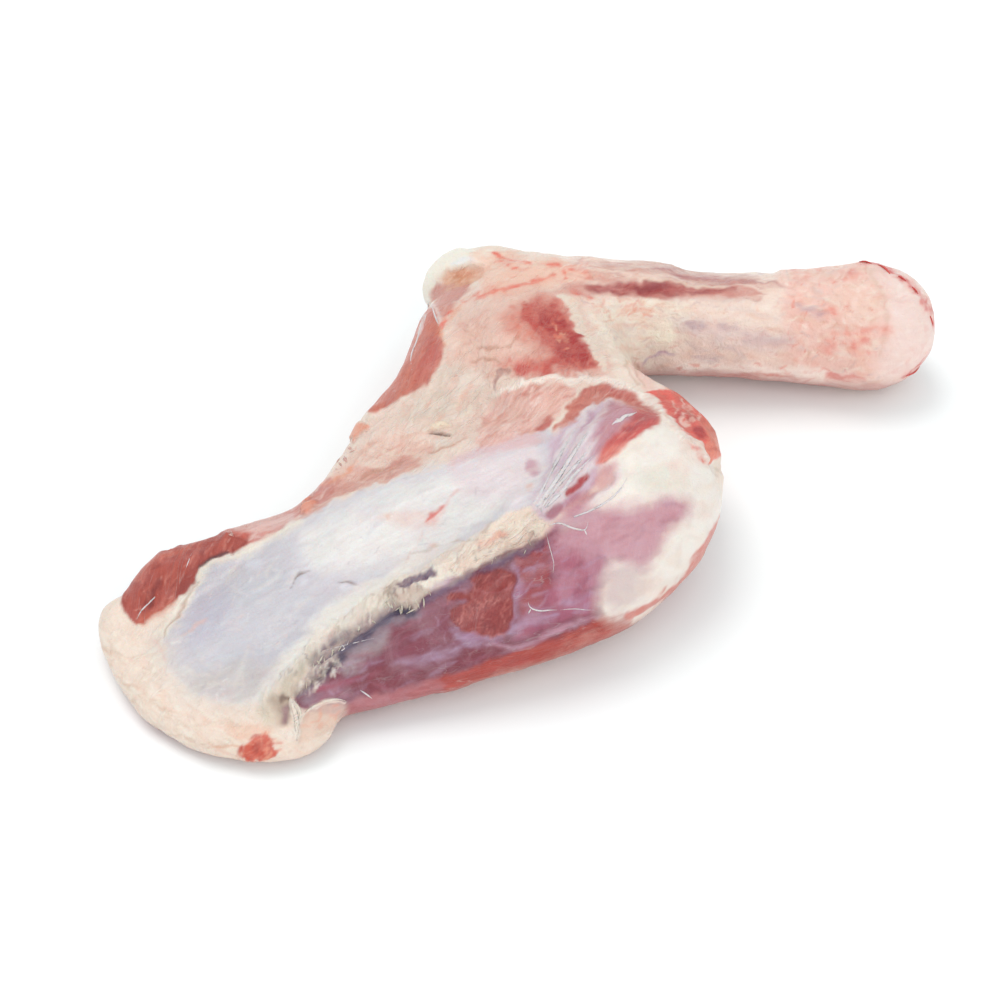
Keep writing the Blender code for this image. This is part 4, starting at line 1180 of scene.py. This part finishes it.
# %% Relief
LUMP_SIZES = {0.022: 0.0008, 0.010: 0.0005, 0.005: 0.00028}
LUMP_SEED = 40
LEAN_LUMPINESS = 0.5
lumpiness = LEAN_LUMPINESS + finish[:, FINISHES["fat"]]
for number, (size, height) in enumerate(LUMP_SIZES.items()):
    raised += height * lumpiness * noise_at(places, size, LUMP_SEED + number)
shaped = places + normals * raised[:, None]
shaped[:, 2] = np.maximum(shaped[:, 2], 0.0)
meat.data.vertices.foreach_set("co", shaped.ravel())
meat.data.update()
meat.data.shade_smooth()
print("relief from", round(raised.min() / MM, 2), "to", round(raised.max() / MM, 2), "mm")

# %% [markdown]
# The arrays go onto the mesh as named attributes, which the material reads by name.

# %% Store the layers on the mesh
def store(mesh, name, values):
    """Keeps four numbers for each point of a mesh under a name."""
    if values.shape[1] == 3:
        values = np.hstack([values, np.ones((len(values), 1))])
    layer = mesh.attributes.new(name, "FLOAT_COLOR", "POINT")
    layer.data.foreach_set("color", np.clip(values, 0, 1).astype(np.float32).ravel())


store(meat.data, "tint", tint)
store(meat.data, "runs", runs)
store(meat.data, "finish", finish)
print("stored", [attribute.name for attribute in meat.data.attributes])

# %% [markdown]
# Building shaders node by node repeats the same few steps: make a node, then link or set its inputs. Small
# helpers do that, and each returns the socket that the next node needs.

# %% Small helpers for shader nodes
def new_group(name, inputs, outputs):
    """An empty shader node group with named sockets. Returns it with its input and output nodes."""
    group = bpy.data.node_groups.new(name, "ShaderNodeTree")
    for label, kind, value in inputs:
        socket = group.interface.new_socket(label, in_out="INPUT", socket_type=kind)
        if value is not None:
            socket.default_value = value
    for label, kind in outputs:
        group.interface.new_socket(label, in_out="OUTPUT", socket_type=kind)
    return group, group.nodes.new("NodeGroupInput"), group.nodes.new("NodeGroupOutput")


def feed(tree, socket, value):
    """Links another socket to this one, or sets it to a plain value."""
    if isinstance(value, bpy.types.NodeSocket):
        tree.links.new(value, socket)
    else:
        socket.default_value = value


def math_node(tree, operation, first, second=None, clamp=False):
    """A Math node. Each input is a socket or a number. Returns its output socket."""
    node = tree.nodes.new("ShaderNodeMath")
    node.operation = operation
    node.use_clamp = clamp
    for socket, value in zip(node.inputs, (first, second)):
        if value is not None:
            feed(tree, socket, value)
    return node.outputs[0]


def product(tree, first, *others):
    """Sockets or numbers multiplied in a row."""
    for other in others:
        first = math_node(tree, "MULTIPLY", first, other)
    return first



print("group and math helpers ready")

# %% [markdown]
# Four more helpers make patterns: noise, a ramp, a mix of two colours, and a squeeze of the space along
# an angle, which turns round noise into streaks.

# %% Helpers for patterns
def noise_node(tree, vector, scale, detail=3.0, roughness=0.55, distortion=0.0):
    """A Noise texture. Its scale is a socket or a number."""
    node = tree.nodes.new("ShaderNodeTexNoise")
    settings = {"Vector": vector, "Scale": scale, "Detail": detail, "Roughness": roughness,
                "Distortion": distortion}
    for name, value in settings.items():
        feed(tree, node.inputs[name], value)
    return node.outputs["Fac"]


def ramp(tree, value, low, high):
    """Stretches a value so that low becomes 0 and high becomes 1."""
    node = tree.nodes.new("ShaderNodeMapRange")
    node.interpolation_type = "SMOOTHSTEP"
    node.inputs["From Min"].default_value = low
    node.inputs["From Max"].default_value = high
    tree.links.new(value, node.inputs["Value"])
    return node.outputs["Result"]


# A Mix node has sockets for every kind of data, and these are the ones for colours.
MIX_FIRST = 6
MIX_SECOND = 7
MIX_RESULT = 2


def blend_colours(tree, share, first, second, way="MIX"):
    """Mixes two colours. share is a socket or a number, and each colour a socket or three numbers."""
    node = tree.nodes.new("ShaderNodeMix")
    node.data_type = "RGBA"
    node.blend_type = way
    feed(tree, node.inputs["Factor"], share)
    for place, colour in ((MIX_FIRST, first), (MIX_SECOND, second)):
        plain = not isinstance(colour, bpy.types.NodeSocket)
        feed(tree, node.inputs[place], (*colour, 1) if plain else colour)
    return node.outputs[MIX_RESULT]


def squeezed_along(tree, vector, angle, stretch, height_share=1.0):
    """The vector turned by an angle round Z and divided by a stretch along it. height_share multiplies Z."""
    turn = tree.nodes.new("ShaderNodeVectorRotate")
    turn.rotation_type = "Z_AXIS"
    tree.links.new(vector, turn.inputs["Vector"])
    tree.links.new(math_node(tree, "MULTIPLY", angle, -1.0), turn.inputs["Angle"])
    shares = tree.nodes.new("ShaderNodeCombineXYZ")
    tree.links.new(math_node(tree, "DIVIDE", 1.0, stretch), shares.inputs["X"])
    shares.inputs["Y"].default_value = 1.0
    feed(tree, shares.inputs["Z"], height_share)
    squeeze = tree.nodes.new("ShaderNodeVectorMath")
    squeeze.operation = "MULTIPLY"
    tree.links.new(turn.outputs["Vector"], squeeze.inputs[0])
    tree.links.new(shares.outputs["Vector"], squeeze.inputs[1])
    return squeeze.outputs["Vector"]


print("shader helpers ready")

# %% [markdown]
# Muscle is bundles of fibres with thin white threads between them. Painting each fibre would need far more
# points, so a shader node group makes that grain once: noise stretched along an angle, and a thin line
# wherever a second noise crosses its middle value. Every material can use it with its own angle and size.

# %% Node group: muscle grain
BUNDLE_EDGES = (0.32, 0.68)
THREADS_FINER = 0.7
THREAD_EDGES = (0.016, 0.002)
THREAD_PATCHES = 60.0
THREAD_PATCH_EDGES = (0.45, 0.7)
MIDDLE = 0.5


def make_grain_group():
    """Fibre bundles and white threads along an angle."""
    group, given, result = new_group(
        "muscle grain",
        [("Vector", "NodeSocketVector", None), ("Angle", "NodeSocketFloat", 0.0),
         ("Bundle Scale", "NodeSocketFloat", 300.0), ("Stretch", "NodeSocketFloat", 14.0),
         ("Height Share", "NodeSocketFloat", 1.0)],
        [("Bundles", "NodeSocketFloat"), ("Threads", "NodeSocketFloat")])
    fibres = squeezed_along(group, given.outputs["Vector"], given.outputs["Angle"],
                            given.outputs["Stretch"], given.outputs["Height Share"])
    bundles = noise_node(group, fibres, given.outputs["Bundle Scale"], detail=4.0, roughness=0.65)
    group.links.new(ramp(group, bundles, *BUNDLE_EDGES), result.inputs["Bundles"])
    finer = product(group, given.outputs["Bundle Scale"], THREADS_FINER)
    lines = noise_node(group, fibres, finer, detail=1.0)
    crossing = math_node(group, "ABSOLUTE", math_node(group, "SUBTRACT", lines, MIDDLE))
    thin = ramp(group, crossing, *THREAD_EDGES)
    some = ramp(group, noise_node(group, fibres, THREAD_PATCHES, detail=1.0), *THREAD_PATCH_EDGES)
    group.links.new(product(group, thin, some), result.inputs["Threads"])
    return group


GRAIN = make_grain_group()
print("group", GRAIN.name, "with", len(GRAIN.nodes), "nodes")

# %% [markdown]
# Fat and sinew have no grain. They are mottled, and puckered by fine wrinkles that mostly run one way.
# This group gives patches from a warped noise, wrinkles where a stretched noise crosses its middle
# value, and small specks.

# %% Node group: mottled and wrinkled skin
PATCH_EDGES = (0.36, 0.68)
WRINKLE_EDGES = (0.0, 0.14)
SPECK_SCALE = 420.0
SPECK_EDGES = (0.56, 0.72)


def make_skin_group():
    """Patches, wrinkles and specks."""
    group, given, result = new_group(
        "mottled skin",
        [("Vector", "NodeSocketVector", None), ("Angle", "NodeSocketFloat", 0.8),
         ("Patch Scale", "NodeSocketFloat", 60.0), ("Wrinkle Scale", "NodeSocketFloat", 120.0),
         ("Stretch", "NodeSocketFloat", 3.0)],
        [("Patches", "NodeSocketFloat"), ("Wrinkles", "NodeSocketFloat"), ("Specks", "NodeSocketFloat")])
    vector = given.outputs["Vector"]
    patches = noise_node(group, vector, given.outputs["Patch Scale"], detail=6.0, roughness=0.65,
                         distortion=0.6)
    group.links.new(ramp(group, patches, *PATCH_EDGES), result.inputs["Patches"])
    streaks = squeezed_along(group, vector, given.outputs["Angle"], given.outputs["Stretch"])
    folds = noise_node(group, streaks, given.outputs["Wrinkle Scale"], roughness=0.6, distortion=0.7)
    ridge = math_node(group, "ABSOLUTE", math_node(group, "SUBTRACT", folds, MIDDLE))
    group.links.new(ramp(group, ridge, *WRINKLE_EDGES), result.inputs["Wrinkles"])
    specks = noise_node(group, vector, SPECK_SCALE, roughness=0.7, distortion=0.8)
    group.links.new(ramp(group, specks, *SPECK_EDGES), result.inputs["Specks"])
    return group


SKIN = make_skin_group()
print("group", SKIN.name, "with", len(SKIN.nodes), "nodes")

# %% [markdown]
# The meat's material reads the painted attributes and adds what is finer than the mesh: grain in each of
# the four directions, white threads, a pearly veil, patches in the fat, wrinkles and specks of blood.
# Wet meat has a soft body and a thin shiny film, so the shader has some subsurface light and a coat.

# %% The meat's material
GRAIN_DARKENING = 0.9
GRAIN_TINT = (0.74, 0.52, 0.5)
STEEP_HEIGHT_SHARE = 0.08
SHOWN = {"threads": 0.34, "veil": 0.35, "fat": 0.38, "wrinkles": 0.3, "blood": 0.7}
BUMP_DEPTH = 0.0009
BUMPS = {"bundles": -0.5, "threads": 0.35, "patches": 0.6, "fine": 0.9}
FINE_SCALE = 420.0
WETNESS_SCALE = 45.0
ROUGHNESS_FROM = 0.27
ROUGHNESS_TO = 0.6
WET = {"Subsurface Weight": 0.18, "Subsurface Radius": (1.0, 0.35, 0.2), "Subsurface Scale": 0.0025,
       "Specular IOR Level": 0.3, "Coat Weight": 0.22, "Coat Roughness": 0.13}


def use_group(tree, group, **values):
    """A group in a material's tree, with its inputs set by name. Underscores stand for spaces."""
    node = tree.nodes.new("ShaderNodeGroup")
    node.node_tree = group
    for name, value in values.items():
        feed(tree, node.inputs[name.replace("_", " ")], value)
    return node


def channels(tree, name):
    """The four numbers of a stored attribute, as sockets."""
    attribute = tree.nodes.new("ShaderNodeAttribute")
    attribute.attribute_name = name
    parts = tree.nodes.new("ShaderNodeSeparateColor")
    tree.links.new(attribute.outputs["Color"], parts.inputs["Color"])
    return [*parts.outputs, attribute.outputs["Alpha"]]


def wet_shader(made):
    """Sets what wet flesh has everywhere alike."""
    shader = made.node_tree.nodes["Principled BSDF"]
    for name, value in WET.items():
        shader.inputs[name].default_value = value
    return shader


def add_bump(tree, height, shader):
    """Feeds a height into a Bump and that into the shader."""
    bump = tree.nodes.new("ShaderNodeBump")
    bump.inputs["Distance"].default_value = BUMP_DEPTH
    tree.links.new(height, bump.inputs["Height"])
    tree.links.new(bump.outputs["Normal"], shader.inputs["Normal"])


print("wet film ready")

# %% [markdown]
# The four grains are added up, each by its painted strength, and darken the painted colour. Threads, veil,
# fat, wrinkles and blood are mixed in after them, and the same values feed the bump.

# %% Build the meat's material
def make_meat_material():
    """Reads the painted layers and adds what is finer than the mesh."""
    made = bpy.data.materials.new("raw_meat")
    made.use_nodes = True
    tree = made.node_tree
    shader = wet_shader(made)
    here = tree.nodes.new("ShaderNodeTexCoord").outputs["Object"]
    painted = tree.nodes.new("ShaderNodeAttribute")
    painted.attribute_name = "tint"
    grains = channels(tree, "runs")
    veil, fat, blood, wrinkle = channels(tree, "finish")

    bundles = threads = 0.0
    for strength, (run, angle) in zip(grains, ANGLES.items()):
        share = STEEP_HEIGHT_SHARE if run in STEEP_RUNS else 1.0
        grain = use_group(tree, GRAIN, Vector=here, Angle=angle, Height_Share=share)
        bundles = math_node(tree, "ADD", bundles, product(tree, grain.outputs["Bundles"], strength))
        threads = math_node(tree, "ADD", threads, product(tree, grain.outputs["Threads"], strength))

    skin = use_group(tree, SKIN, Vector=here)
    patches = skin.outputs["Patches"]
    shade = math_node(tree, "MULTIPLY", bundles, GRAIN_DARKENING, clamp=True)
    deepened = blend_colours(tree, 1.0, painted.outputs["Color"], GRAIN_TINT, way="MULTIPLY")
    colour = blend_colours(tree, shade, painted.outputs["Color"], deepened)
    folded = math_node(tree, "SUBTRACT", 1.0, skin.outputs["Wrinkles"])
    overlays = [(math_node(tree, "MULTIPLY", threads, SHOWN["threads"], clamp=True), PEARL),
                (product(tree, patches, veil, SHOWN["veil"]), LILAC),
                (product(tree, patches, fat, SHOWN["fat"]), PEACH),
                (product(tree, folded, wrinkle, SHOWN["wrinkles"]), SALMON),
                (product(tree, skin.outputs["Specks"], blood, SHOWN["blood"]), BLOOD)]
    for share, shown in overlays:
        colour = blend_colours(tree, share, colour, screen(*shown))
    tree.links.new(colour, shader.inputs["Base Color"])

    fine = noise_node(tree, here, FINE_SCALE, detail=4.0, roughness=0.65)
    heights = [product(tree, threads, BUMPS["threads"]), product(tree, patches, fat, BUMPS["patches"]),
               product(tree, fine, BUMPS["fine"]), product(tree, folded, wrinkle, -1.0)]
    height = product(tree, bundles, BUMPS["bundles"])
    for more in heights:
        height = math_node(tree, "ADD", height, more)
    add_bump(tree, height, shader)

    wetness = noise_node(tree, here, WETNESS_SCALE)
    rough = tree.nodes.new("ShaderNodeMapRange")
    rough.inputs["To Min"].default_value = ROUGHNESS_FROM
    rough.inputs["To Max"].default_value = ROUGHNESS_TO
    tree.links.new(wetness, rough.inputs["Value"])
    tree.links.new(rough.outputs["Result"], shader.inputs["Roughness"])
    return made


meat.data.materials.clear()
meat.data.materials.append(make_meat_material())
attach(meat, "root")
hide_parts(NODE)
print("meat dressed")

# %% [markdown]
# Sinews, threads and torn shreds stand off the surface, so they are pieces of their own: thin tapered
# strips that follow the skin. A ray from the camera finds where a strand's points lie on the meat, and a
# flat oval ring is put round each point, standing across the strand's run. Many strands make one mesh.

# %% Strands that follow the skin
RING = 6
STEP_PX = 3.0
TAPER_IN = 4
TAPER_OUT = 3
faces = [face.vertices for face in meat.data.polygons]
skin_tree = BVHTree.FromPolygons([Vector(place) for place in shaped], faces)
right = np.array([1.0, 0.0, 0.0])


def on_skin(pixel):
    """The place and the outward direction of the meat under a pixel, or None beside it."""
    ray = forward + right * (pixel[0] - PIXELS / 2) / SHARP + upward * (PIXELS / 2 - pixel[1]) / SHARP
    hit, normal, _, _ = skin_tree.ray_cast(Vector(eye), Vector(ray).normalized())
    return None if hit is None else (hit, normal)


def even_points(line):
    """Points STEP_PX apart along a smooth curve in the picture."""
    curve = rounded(line, closed=False, steps=8)
    lengths = np.concatenate([[0], np.cumsum(np.hypot(*np.diff(curve, axis=0).T))])
    count = max(int(lengths[-1] / STEP_PX), 3)
    wanted = np.linspace(0, lengths[-1], count + 1)
    return np.stack([np.interp(wanted, lengths, curve[:, axis]) for axis in (0, 1)], axis=1)


def add_strand(mesh, line, width, thick, lift=0.0, start_share=0.15, end_share=0.15):
    """Adds one strip to a bmesh. Width, thickness and lift are in millimetres, the line in pixels."""
    found = [hit for hit in map(on_skin, even_points(line)) if hit is not None]
    if len(found) < 3:
        return
    spots = [hit for hit, _ in found]
    spots = [spots[0], *[(a + b * 2 + c) / 4 for a, b, c in zip(spots, spots[1:], spots[2:])], spots[-1]]
    rings = []
    for index, (spot, (_, normal)) in enumerate(zip(spots, found)):
        share = index / (len(spots) - 1)
        taper = min(1.0, max(start_share, share * TAPER_IN), max(end_share, (1 - share) * TAPER_OUT))
        run = (spots[min(index + 1, len(spots) - 1)] - spots[max(index - 1, 0)]).normalized()
        side = run.cross(normal).normalized()
        middle = spot + normal * (lift * math.sin(math.pi * share)) * MM
        ring = []
        for corner in range(RING):
            turn = 2 * math.pi * corner / RING
            across = side * math.cos(turn) * width * taper / 2
            out = normal * math.sin(turn) * thick * taper / 2
            ring.append(mesh.verts.new(middle + (across + out) * MM))
        rings.append(ring)
    for ring, following in zip(rings, rings[1:]):
        for corner in range(RING):
            after = (corner + 1) % RING
            mesh.faces.new((ring[corner], ring[after], following[after], following[corner]))
    mesh.faces.new(list(reversed(rings[0])))
    mesh.faces.new(rings[-1])


def make_piece(name, mesh, material):
    """Turns a bmesh into a smooth piece that rides on the meat's body."""
    bmesh.ops.recalc_face_normals(mesh, faces=mesh.faces)
    data = bpy.data.meshes.new(name)
    mesh.to_mesh(data)
    mesh.free()
    data.shade_smooth()
    data.materials.append(material)
    piece = bpy.data.objects.new(name, data)
    bpy.context.scene.collection.objects.link(piece)
    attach(piece, "root")
    print(name, len(data.polygons), "faces")
    return piece


print("strand tools ready")

# %% [markdown]
# Sinew, gristle and torn flesh are all wet and stringy, so one function makes their materials, each
# from a pale and a deeper colour in patches.

# %% Materials of the strands
SINEW_PATCHES = 140.0
SINEW_DEEP_SHARE = 0.5
SINEW_ROUGHNESS = 0.45


def make_sinew_material(name, pale, deep):
    """A wet fibrous material that goes from a pale to a deeper screen colour in patches."""
    made = bpy.data.materials.new(name)
    made.use_nodes = True
    tree = made.node_tree
    shader = wet_shader(made)
    here = tree.nodes.new("ShaderNodeTexCoord").outputs["Object"]
    skin = use_group(tree, SKIN, Vector=here, Patch_Scale=SINEW_PATCHES)
    share = product(tree, skin.outputs["Patches"], SINEW_DEEP_SHARE)
    tree.links.new(blend_colours(tree, share, screen(*pale), screen(*deep)), shader.inputs["Base Color"])
    add_bump(tree, skin.outputs["Wrinkles"], shader)
    shader.inputs["Roughness"].default_value = SINEW_ROUGHNESS
    return made


SINEW = make_sinew_material("sinew", (233, 220, 219), (222, 203, 206))
GRISTLE = make_sinew_material("gristle", (226, 211, 196), (204, 184, 168))
print("made", SINEW.name, "and", GRISTLE.name)

# %% [markdown]
# Five sinews fan out from the spine's end over the mauve muscle. They are flat, half sunk in the meat,
# and thicker where they start. Thinner threads lie on the muscle below them, in the groove, by the elbow
# and at the blade's end. Each is a line in the picture with a width and a thickness in millimetres.

# %% The fan of sinews and the threads
FULL_START = 0.8
FINE_START = 0.15
FAN_SINEWS = [
    ([(534, 504), (542, 490), (551, 472), (565, 446), (578, 424)], 2.6, 0.32),
    ([(537, 507), (546, 494), (559, 476), (576, 449), (596, 420)], 3.2, 0.36),
    ([(540, 509), (556, 488), (578, 463), (594, 442)], 2.0, 0.3),
    ([(541, 511), (561, 492), (576, 473), (594, 455)], 2.8, 0.34),
    ([(574, 517), (598, 507), (618, 492), (629, 474)], 1.4, 0.26),
]
THREADS = [
    ([(549, 526), (556, 523), (563, 524), (572, 528), (582, 530), (586, 530), (588, 522)], 1.3, 0.7),
    ([(584, 529), (587, 535)], 0.9, 0.5),
    ([(546, 532), (548, 541), (551, 552), (554, 564), (553, 572), (553, 578)], 0.5, 0.3),
    ([(528, 602), (529, 606), (532, 609), (541, 611), (550, 610), (557, 610)], 1.0, 0.4),
    ([(560, 610), (570, 609), (578, 609), (586, 610), (595, 610)], 0.5, 0.3),
    ([(531, 609), (528, 614)], 0.8, 0.4),
    ([(612, 425), (616, 421), (620, 421), (624, 416), (630, 415), (637, 412)], 3.2, 1.0),
    ([(616, 419), (621, 420)], 1.8, 1.0),
    ([(320, 653), (327, 650), (334, 648), (350, 644), (374, 638)], 0.5, 0.3),
    ([(337, 655), (342, 650), (346, 648), (349, 640)], 0.8, 0.4),
    ([(341, 644), (345, 648), (348, 652)], 0.8, 0.4),
    ([(360, 690), (366, 694), (374, 700)], 1.0, 0.4),
    ([(424, 310), (421, 324), (417, 340), (411, 356), (412, 370)], 1.8, 0.8),
    ([(429, 302), (427, 312), (424, 322)], 1.5, 0.8),
    ([(432, 306), (435, 316), (439, 326)], 1.4, 0.7),
    ([(158, 594), (150, 602), (141, 611), (137, 619)], 1.0, 0.5),
    ([(192, 553), (189, 560), (186, 568)], 0.8, 0.4),
]
for name, lines, start_share in (("fan_sinews", FAN_SINEWS, FULL_START), ("threads", THREADS, FINE_START)):
    strands = bmesh.new()
    for line, width, thick in lines:
        add_strand(strands, line, width, thick, start_share=start_share)
    make_piece(name, strands, SINEW)

# %% [markdown]
# Along the lower edge of the spine the knife tore the sinew into a fringe. Each shred is a short thin
# tag that starts on the ridge and hangs over the groove. Its length and slant are drawn by chance from
# the seeded source, so every run gives the same fringe. Most tags hang halfway along, and few at the end.
# Like them, but pink and pointing up and back, are the shreds on the edge of the meat behind the blade.

# %% The torn fringe and the shreds behind the blade
ROOT_SCATTER = 1.6
LEAN_SCATTER = 0.5
TAG_REACHES = (-1.2, -0.4, 0.4, 1.0)
TAG_THICKNESS = (0.3, 0.6)
TAG_LIFT = (0, 0.4)
TAG_START = 0.3
FRINGES = {
    "ridge": ([(304, 684), (318, 668), (334, 652), (348, 638), (376, 618)], 12, (2, 5), (0.7, 1.3)),
    "bunch": ([(384, 604), (394, 607), (406, 608), (416, 606), (426, 597)], 14, (2, 6), (0.7, 1.4)),
    "end": ([(424, 597), (450, 583), (476, 569), (500, 559), (522, 549), (542, 537)], 5, (2, 4), (0.5, 0.9)),
}


def fringe_mesh(edge, count, lengths, widths, slant=(0.25, 1.0)):
    """Tags along an edge in the picture, as one bmesh. Lengths are in pixels, widths in millimetres."""
    mesh = bmesh.new()
    curve = rounded(edge, closed=False, steps=16)
    for _ in range(count):
        root = curve[chance.integers(len(curve))] + chance.normal(0, ROOT_SCATTER, 2)
        reach = chance.uniform(*lengths)
        lean = np.array(slant) + chance.normal(0, LEAN_SCATTER, 2)
        lean = lean / np.hypot(*lean) * reach
        line = [root + lean * share for share in TAG_REACHES]
        add_strand(mesh, line, chance.uniform(*widths), chance.uniform(*TAG_THICKNESS),
                   lift=chance.uniform(*TAG_LIFT), start_share=TAG_START)
    return mesh


for name, (edge, count, lengths, widths) in FRINGES.items():
    make_piece(f"fringe_{name}", fringe_mesh(edge, count, lengths, widths), GRISTLE)

BACK_EDGE = [(228, 532), (250, 520), (284, 508), (310, 494), (330, 474), (346, 456), (356, 438)]
BACK_TAGS = 22
BACK_LENGTHS = (2, 5)
BACK_WIDTHS = (1.2, 2.6)
BACK_SLANT = (-0.5, -0.8)
PINK_FLESH = make_sinew_material("pink_flesh", (226, 178, 166), (206, 128, 116))
shreds = fringe_mesh(BACK_EDGE, BACK_TAGS, BACK_LENGTHS, BACK_WIDTHS, slant=BACK_SLANT)
make_piece("back_shreds", shreds, PINK_FLESH)

# %% [markdown]
# By the recess at the blade's end two loose strips of skin hang down, and a third one curls along the
# muscle's edge. They only mark the edges of the folds that the layers have raised. Red shreds stand up
# round the sawn end of the knee. Each strip has a width, a thickness and a lift in millimetres.

# %% Flaps and shreds
BLUNT_START = 0.6
BLUNT_END = 0.3
FLAPS = [
    ([(290, 698), (293, 707), (296, 716), (297, 728), (297, 741)], 3.0, 0.5, 0.2),
    ([(293, 700), (298, 707), (301, 715), (300, 724)], 1.6, 0.4, 0.4),
    ([(301, 718), (306, 712), (313, 707), (324, 702), (336, 699), (346, 701)], 1.6, 0.4, 0.2),
]
SHREDS = [
    ([(842, 262), (844, 258)], 1.4, 1.0, 0.5), ([(856, 262), (864, 262), (872, 264)], 2.0, 1.4, 0.6),
    ([(878, 265), (884, 268), (890, 274)], 2.4, 1.6, 0.6), ([(898, 276), (906, 281)], 1.8, 1.2, 0.5),
    ([(912, 287), (918, 294)], 1.6, 1.2, 0.5), ([(930, 316), (933, 326)], 1.4, 1.0, 0.4),
    ([(906, 376), (914, 372), (920, 366)], 1.6, 1.2, 0.5),
]
FLESH = make_sinew_material("torn_flesh", (222, 96, 88), (196, 60, 60))
LOOSE_SKIN = make_sinew_material("loose_skin", (244, 226, 213), (228, 196, 182))
for name, strips, material in (("flaps", FLAPS, LOOSE_SKIN), ("knee_shreds", SHREDS, FLESH)):
    torn = bmesh.new()
    for line, width, thick, lift in strips:
        add_strand(torn, line, width, thick, lift=lift, start_share=BLUNT_START, end_share=BLUNT_END)
    make_piece(name, torn, material)
